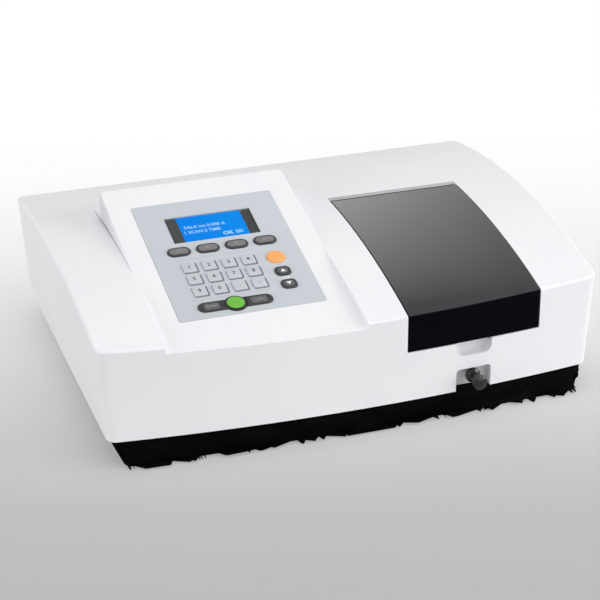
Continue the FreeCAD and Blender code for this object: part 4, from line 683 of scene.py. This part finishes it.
# display: dark bars beside the lit field, and rows of name, words, size, x, t, stretch and bold in millimetres
screen = {"x": -84.2 * mm, "t": 156.0 * mm, "level": -1.65 * mm, "width": 84.4 * mm, "height": 42 * mm,
          "thick": 0.06 * mm, "corner": 0.15 * mm, "bars": [(-1, "Left", 12.6 * mm), (1, "Right", 11.0 * mm)]}
for side, name, width in screen["bars"]:
    x = screen["x"] + side * (screen["width"] - width) / 2
    bar = startPlate("displayBar" + name, width, screen["height"], screen["corner"], screen["level"] - panel["sink"],
                     screen["level"] + screen["thick"], x, screen["t"], segments=2)
    finishPiece(bar, "barDark", "housing", consoleSpace)
rows = [("displayRow1", "546.0 nm 0.000 A", 6.0, -90.4, 159.6, 0.9, 0.10),
        ("displayRow2", "1 SCAN 2 TIME", 6.0, -94.4, 152.2, 0.88, 0.08),
        ("displayRow3", "OK", 6.4, -72.2, 144.6, 1.0, 0.28),
        ("displayRow4", "ESC", 6.0, -61.4, 144.6, 0.72, 0.2)]
for name, words, size, x, t, stretch, bold in rows:
    printText(name, words, size * mm, x * mm, t * mm, screen["level"], "displayInk", "housing",
              stretch, bold=bold * mm)
print("display done")

# base tray: a copy whose front leans in less, as in the photograph; each level is pushed forward by its share.
# Known fault: levels are rounded to 0.01 mm and sameLevel is over half of that, so a corner between two levels moves
# twice, which leaves the lower front edge torn
tub = {"low": 1.5 * mm, "high": 23.0 * mm, "back": -132.0 * mm, "forward": 7.0 * mm, "merge": 0.002 * mm,
       "sameLevel": 0.006 * mm}
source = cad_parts["base_tray"]
shell = source.copy()
shell.data = source.data.copy()
shell.name = "baseShell"
levels = sorted({round(v.co.z, 5) for v in shell.data.vertices if v.co.y < tub["back"] and v.co.z < tub["high"]})
bpy.context.collection.objects.link(shell)
fresh()
shell.select_set(True)
bpy.context.view_layer.objects.active = shell
bpy.ops.object.mode_set(mode="EDIT")
bpy.ops.mesh.select_all(action="SELECT")
bpy.ops.mesh.remove_doubles(threshold=tub["merge"])
bpy.ops.mesh.normals_make_consistent(inside=False)
for level in levels:
    share = min(1.0, (tub["high"] - level) / (tub["high"] - tub["low"]))
    choose("VERT", lambda v: abs(v.co.z - level) < tub["sameLevel"] and v.co.y < tub["back"])
    bpy.ops.transform.translate(value=(0, -tub["forward"] * share, 0))
bpy.ops.mesh.select_all(action="SELECT")
bpy.ops.mesh.normals_make_consistent(inside=False)
finishPiece(shell, "baseBlack", "housing")
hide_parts("base_tray")
print("base done")

# behind the lid: a grey facing on the cover's sloping ledge as painted shade, and a dark strip on the ledge's front as
# painted shadow of the gap behind the lid
ledge = {"left": 42.0 * mm, "right": 171.0 * mm, "front": 41.294 * mm, "rise": 1.5 * mm, "run": 4.3 * mm,
         "top": 135.28 * mm, "thick": 0.12 * mm, "sink": 0.02 * mm, "start": 0.15 * mm, "stop": 0.5 * mm,
         "rim": 0.06 * mm}
slope = math.atan2(ledge["rise"], ledge["run"])
along = math.hypot(ledge["rise"], ledge["run"])
ledgeSpace = Matrix.Translation((0, ledge["front"], ledge["top"] - ledge["rise"])) @ Matrix.Rotation(slope, 4, "X")
# painted shade: grey laid over the white ledge
facing = startBlock("ledgeShadeFacing", (ledge["left"], ledge["start"], -ledge["sink"]),
                    (ledge["right"], along - ledge["stop"], ledge["thick"]))
roundTop(ledge["thick"], ledge["rim"], 2)
finishPiece(facing, "ledgeGrey", "housing", ledgeSpace)

gap = {"thick": 0.5 * mm, "low": 3.7 * mm, "high": 1.6 * mm, "rim": 0.15 * mm}
# painted shadow: a dark strip in the gap behind the lid
strip = startBlock("gapShadowStrip", (ledge["left"], ledge["front"] - gap["thick"], ledge["top"] - gap["low"]),
                   (ledge["right"], ledge["front"] + ledge["sink"], ledge["top"] - gap["high"]))
choose("EDGE", lambda e: all(v.co.y < ledge["front"] - gap["thick"] / 2 for v in e.verts))
bpy.ops.mesh.bevel(offset=gap["rim"], segments=2, affect="EDGES")
finishPiece(strip, "gapBlack", "housing")
print("lid ledge done")

# rear panel: its own plane, x to the right as seen from behind, t up, n outwards
rearPlane = 174.894 * mm
rearSpace = (Matrix.Translation((0, rearPlane, 0)) @ Matrix.Rotation(math.pi, 4, "Z")
             @ Matrix.Rotation(math.pi / 2, 4, "X"))

# its screws: pan heads with a rolled rim and a cross recess cut by two blocks; rim, dome, floor and clear are shares
# of the head's height and radius
screws = {"x": 203.0 * mm, "low": 38.5 * mm, "high": 99.5 * mm, "radius": 2.6 * mm, "rise": 1.5 * mm, "rim": 0.45,
          "dome": [(0.12, 0.25), (0.22, 0.2), (0.3, 0.1)], "arm": 1.3 * mm, "narrow": 0.286 * mm, "floor": 0.55,
          "clear": 1.6}
x, t, rise = -screws["x"], screws["low"], screws["rise"]
screw = startDisc("rearScrew1", screws["radius"], 0, rise * screws["rim"], x, t, sides=40)
crown(rise * screws["rim"], [(screws["radius"] * inward, rise * upward) for inward, upward in screws["dome"]])
finishPiece(screw, "steel", "housing", rearSpace)
for wide, tall in ((screws["arm"], screws["narrow"]), (screws["narrow"], screws["arm"])):
    cutter = startBlock("recess", (x - wide, t - tall, rise * screws["floor"]),
                        (x + wide, t + tall, rise * screws["clear"]))
    fresh()
    cutter.data.transform(rearSpace)
    screw.select_set(True)
    bpy.context.view_layer.objects.active = screw
    hollow = screw.modifiers.new("recess", "BOOLEAN")
    hollow.operation = "DIFFERENCE"
    hollow.solver = "EXACT"
    hollow.object = cutter
    bpy.ops.object.modifier_apply(modifier=hollow.name)
    bpy.data.objects.remove(cutter)
places = [(x, t) for t in (screws["low"], screws["high"]) for x in (-screws["x"], 0, screws["x"])]
for k, (x, t) in enumerate(places[1:]):
    copyPiece(screw, "rearScrew%d" % (k + 2), x + screws["x"], t - screws["low"], "housing", rearSpace)
print("rear screws done")

# mains inlet: bright blades over its three pins, which are given from the inlet's middle
inlet = {"x": 168.0 * mm, "z": 62.0 * mm, "low": -14.5 * mm, "high": -2.3 * mm, "wide": 1.12 * mm, "tall": 2.12 * mm,
         "rim": 0.6 * mm, "pins": [(-7 * mm, -3.5 * mm), (0, 3.5 * mm), (7 * mm, -3.5 * mm)]}
first = inlet["pins"][0]
x, t = inlet["x"] + first[0], inlet["z"] + first[1]
blade = startBlock("inletPin1", (x - inlet["wide"], t - inlet["tall"], inlet["low"]),
                   (x + inlet["wide"], t + inlet["tall"], inlet["high"]))
roundTop(inlet["high"], inlet["rim"], 3)
finishPiece(blade, "chrome", "housing", rearSpace)
for k, pin in enumerate(inlet["pins"][1:]):
    copyPiece(blade, "inletPin%d" % (k + 2), pin[0] - first[0], pin[1] - first[1], "housing", rearSpace)

# rocker marks: each half of the rocker's face leans towards its middle
rocker = {"x": 134.0 * mm, "axleDepth": -3.5 * mm, "angle": 8.0, "face": 4.953 * mm, "faceLean": 11.9,
          "mark": 5.0 * mm, "letters": 5.0 * mm, "bold": 0.12 * mm, "lift": 0.03 * mm}
for name, words, side in (("rockerOff", "O", -1), ("rockerOn", "I", 1)):
    markSpace = (rearSpace @ Matrix.Translation((rocker["x"], inlet["z"], rocker["axleDepth"]))
                 @ Matrix.Rotation(math.radians(rocker["angle"]), 4, "X")
                 @ Matrix.Translation((0, side * rocker["mark"], rocker["face"]))
                 @ Matrix.Rotation(math.radians(side * rocker["faceLean"]), 4, "X"))
    printText(name, words, rocker["letters"], 0, 0, rocker["lift"], "printWhite", "rocker",
              bold=rocker["bold"], space=markSpace)
print("inlet done")

# serial port: black insert in its shell, narrower below, with nine gold sockets in two rows
serial = {"x": -20.0 * mm, "z": 60.0 * mm, "front": 3.2 * mm, "wide": 8.2 * mm, "narrow": 6.9 * mm, "half": 3.5 * mm,
          "corner": 0.8 * mm, "sink": 0.05 * mm, "thick": 0.12 * mm}
insert = startBlock("serialInsert",
                    (serial["x"] - serial["wide"], serial["z"] - serial["half"], serial["front"] - serial["sink"]),
                    (serial["x"] + serial["wide"], serial["z"] + serial["half"], serial["front"] + serial["thick"]))
choose("VERT", lambda v: v.co.y < serial["z"])
bpy.ops.transform.resize(value=(serial["narrow"] / serial["wide"], 1, 1),
                         center_override=(serial["x"], serial["z"], 0))
choose("EDGE", upright)
bpy.ops.mesh.bevel(offset=serial["corner"], segments=4, affect="EDGES")
finishPiece(insert, "switchBlack", "housing", rearSpace)

sockets = {"pitch": 2.7 * mm, "row": 1.5 * mm, "radius": 0.75 * mm, "low": 0.1 * mm, "high": 0.3 * mm,
           "rim": (0.28 * mm, 0.0), "hole": (0.03 * mm, -0.18 * mm)}
places = [((k - 2) * sockets["pitch"], sockets["row"]) for k in range(5)]
places += [((k - 1.5) * sockets["pitch"], -sockets["row"]) for k in range(4)]
first = places[0]
socket = startDisc("serialSocket1", sockets["radius"], serial["front"] + sockets["low"],
                   serial["front"] + sockets["high"], serial["x"] + first[0], serial["z"] + first[1], sides=16)
crown(serial["front"] + sockets["high"], [sockets["rim"], sockets["hole"]])
finishPiece(socket, "gold", "housing", rearSpace)
for k, place in enumerate(places[1:]):
    copyPiece(socket, "serialSocket%d" % (k + 2), place[0] - first[0], place[1] - first[1], "housing",
              rearSpace)

# square port: black tongue with two gold contacts above and two below
square = {"x": 30.0 * mm, "z": 60.0 * mm, "half": 2.95 * mm, "tall": 1.72 * mm, "low": -9.5 * mm,
          "high": -0.35 * mm, "rim": 0.3 * mm}
tongue = startBlock("squareTongue", (square["x"] - square["half"], square["z"] - square["tall"], square["low"]),
                    (square["x"] + square["half"], square["z"] + square["tall"], square["high"]))
roundTop(square["high"], square["rim"], 3)
finishPiece(tongue, "switchBlack", "housing", rearSpace)

contacts = {"left": -2.0 * mm, "right": -1.1 * mm, "sink": 0.02 * mm, "thick": 0.12 * mm, "low": -8.0 * mm,
            "high": -0.95 * mm, "rim": 0.1 * mm, "across": 3.1 * mm, "down": -3.54 * mm}
surface = square["z"] + square["tall"]
contact = startBlock("squareContact1", (square["x"] + contacts["left"], surface - contacts["sink"], contacts["low"]),
                     (square["x"] + contacts["right"], surface + contacts["thick"], contacts["high"]))
roundTop(contacts["high"], contacts["rim"], 2)
finishPiece(contact, "gold", "housing", rearSpace)
for k, (x, t) in enumerate(((contacts["across"], 0), (0, contacts["down"]), (contacts["across"], contacts["down"]))):
    copyPiece(contact, "squareContact%d" % (k + 2), x, t, "housing", rearSpace)
print("ports done")

# cell carriage: a numbered plate beside each well
cells = {"x": 121.5 * mm, "first": -61.41 * mm, "pitch": 20.0 * mm, "top": 40.0 * mm, "thick": 0.25 * mm,
         "width": 6.5 * mm, "height": 9.0 * mm, "corner": 1.2 * mm, "rim": 0.1 * mm, "digits": 5.5 * mm,
         "bold": 0.1 * mm}
flat = Matrix.Identity(4)
high = cells["top"] + cells["thick"]
tag = startPlate("cellTag1", cells["width"], cells["height"], cells["corner"], cells["top"] - caps["sink"], high,
                 cells["x"], cells["first"])
roundRim(high, cells["rim"], 2)
finishPiece(tag, "alloy", "carriage")
for k in range(4):
    y = k * cells["pitch"]
    if k:
        copyPiece(tag, "cellTag%d" % (k + 1), 0, y, "carriage", flat)
    printText("cellNumber%d" % (k + 1), str(k + 1), cells["digits"], cells["x"], cells["first"] + y, high,
              "printDark", "carriage", bold=cells["bold"], space=flat)
print("carriage numbers done")


def direction(azimuth, elevation):
    # the way from the middle of the scene, in degrees, azimuth counted from the front
    around, over = math.radians(azimuth), math.radians(elevation)
    return Vector((math.sin(around) * math.cos(over), -math.cos(around) * math.cos(over), math.sin(over)))


# camera where the photographer stood
shot = {"azimuth": -18.62, "elevation": 25.5, "roll": -0.39, "distance": 1780.64 * mm, "right": 3.59 * mm,
        "up": -37.32 * mm, "aim": (0.0, 14.6 * mm, 90.0 * mm), "lens": 113.78, "clip": 50 * mm}
backward = direction(shot["azimuth"], shot["elevation"])
sideways = (-backward).cross(Vector((0, 0, 1))).normalized()
upward = sideways.cross(-backward)
bpy.ops.object.camera_add()
camera = bpy.context.object
camera.data.lens = shot["lens"]
camera.data.clip_start = shot["clip"]
roll = Matrix.Rotation(math.radians(shot["roll"]), 3, backward)
turn = Matrix((sideways, upward, backward)).transposed()
camera.location = Vector(shot["aim"]) + backward * shot["distance"] + sideways * shot["right"] + upward * shot["up"]
camera.rotation_euler = (roll @ turn).to_euler()
bpy.context.scene.camera = camera

# floor: white far back, greyer in front as the paper runs in the photograph; it shows half as its own tone and half
# as lit paper, so the shadow stays, and at the back it fades into plain white; from below it can't be seen
studio = {"size": 14, "floorWay": (0.319, 0.948), "floorSpan": (-0.6, 0.9), "litTone": (0.9, 0.9, 0.9, 1),
          "litFade": (0.6, 0.8), "ownTone": 0.55, "ownFade": (0.42, 0.7), "sky": 0.45, "skySeen": 1.0,
          "skyDark": 0.75, "skyFade": (0.35, 0.95)}
floorTones = [(0.0, 0.45), (0.21, 0.52), (0.273, 0.584), (0.337, 0.665), (0.4, 0.753), (0.477, 0.823), (0.56, 0.896),
              (0.653, 0.956), (0.8, 1.0)]
fresh()
bpy.ops.mesh.primitive_plane_add(size=studio["size"])
floor = bpy.context.object
floor.name = "floor"
floorLook = Finish("floorPaper", Roughness=0.9, Specular_IOR_Level=0.0)
run = floorLook.axis("X") * studio["floorWay"][0] + floorLook.axis("Y") * studio["floorWay"][1]
run = run.ramp(*studio["floorSpan"])
paper = floorLook.ramp(run, [(at, (tone, tone, tone)) for at, tone in floorTones])
floorLook.drive(Base_Color=floorLook.blend(run.ramp(*studio["litFade"]), paper, studio["litTone"]))
path = floorLook.add("ShaderNodeLightPath").socket.node
seen = (Wire(floorLook, path.outputs["Is Camera Ray"]) + Wire(floorLook, path.outputs["Is Glossy Ray"])
        + Wire(floorLook, path.outputs["Is Transmission Ray"])).ramp(0.0, 1.0)
own = floorLook.add("ShaderNodeEmission", {}, {"Color": paper, "Strength": 1.0})
share = seen * (run.ramp(*studio["ownFade"]) * (1 - studio["ownTone"]) + studio["ownTone"])
mixed = floorLook.add("ShaderNodeMixShader", {}, {0: share, 1: Wire(floorLook, floorLook.shader.outputs[0]), 2: own})
beneath = floorLook.add("ShaderNodeNewGeometry", output="Backfacing") * Wire(floorLook, path.outputs["Is Camera Ray"])
clear = floorLook.add("ShaderNodeBsdfTransparent")
mixed = floorLook.add("ShaderNodeMixShader", {}, {0: beneath, 1: mixed, 2: clear})
floorLook.tree.links.new(mixed.socket, floorLook.tree.nodes["Material Output"].inputs["Surface"])
floor.data.materials.append(floorLook.material)

# soft boxes, all turned to a point a little above the floor: name, azimuth, elevation, distance, size, power
litPoint = Vector((0, 0, 0.08))
softBoxes = [("rightBox", 60, 18, 3.0, 2.0, 52.0), ("frontBox", 25, 12, 3.0, 2.0, 12.0),
             ("leftBox", -75, 8, 3.0, 1.8, 42.0), ("topBox", 0, 80, 3.0, 2.4, 35.0)]
for name, azimuth, elevation, distance, size, power in softBoxes:
    fresh()
    bpy.ops.object.light_add(type="AREA")
    box = bpy.context.object
    box.name = name
    box.data.shape = "SQUARE"
    box.data.size = size
    box.data.energy = power
    way = direction(azimuth, elevation)
    box.location = way * distance + litPoint
    box.rotation_euler = way.to_track_quat("Z", "Y").to_euler()

# sky: white where it is seen or seen through glass, softer as a light, and in reflections darker overhead
sky = bpy.data.worlds.new("studio")
bpy.context.scene.world = sky
sky.use_nodes = True
skyKit = NodeKit(sky.node_tree)
path = skyKit.add("ShaderNodeLightPath").socket.node
way = skyKit.add("ShaderNodeTexCoord", output="Generated")
height = skyKit.add("ShaderNodeSeparateXYZ", {}, {"Vector": way}, "Z")
glossy = Wire(skyKit, path.outputs["Is Glossy Ray"])
seen = (Wire(skyKit, path.outputs["Is Camera Ray"]) + Wire(skyKit, path.outputs["Is Transmission Ray"])).ramp(0.0, 1.0)
overhead = 1 - height.ramp(*studio["skyFade"]) * studio["skyDark"]
strength = studio["sky"] + seen * (studio["skySeen"] - studio["sky"])
strength = strength + glossy * (overhead * studio["skySeen"] - strength)
backdrop = sky.node_tree.nodes["Background"]
backdrop.inputs["Color"].default_value = (1, 1, 1, 1)
sky.node_tree.links.new(strength.socket, backdrop.inputs["Strength"])

bpy.context.scene.view_settings.view_transform = "Standard"

print("scene ready")
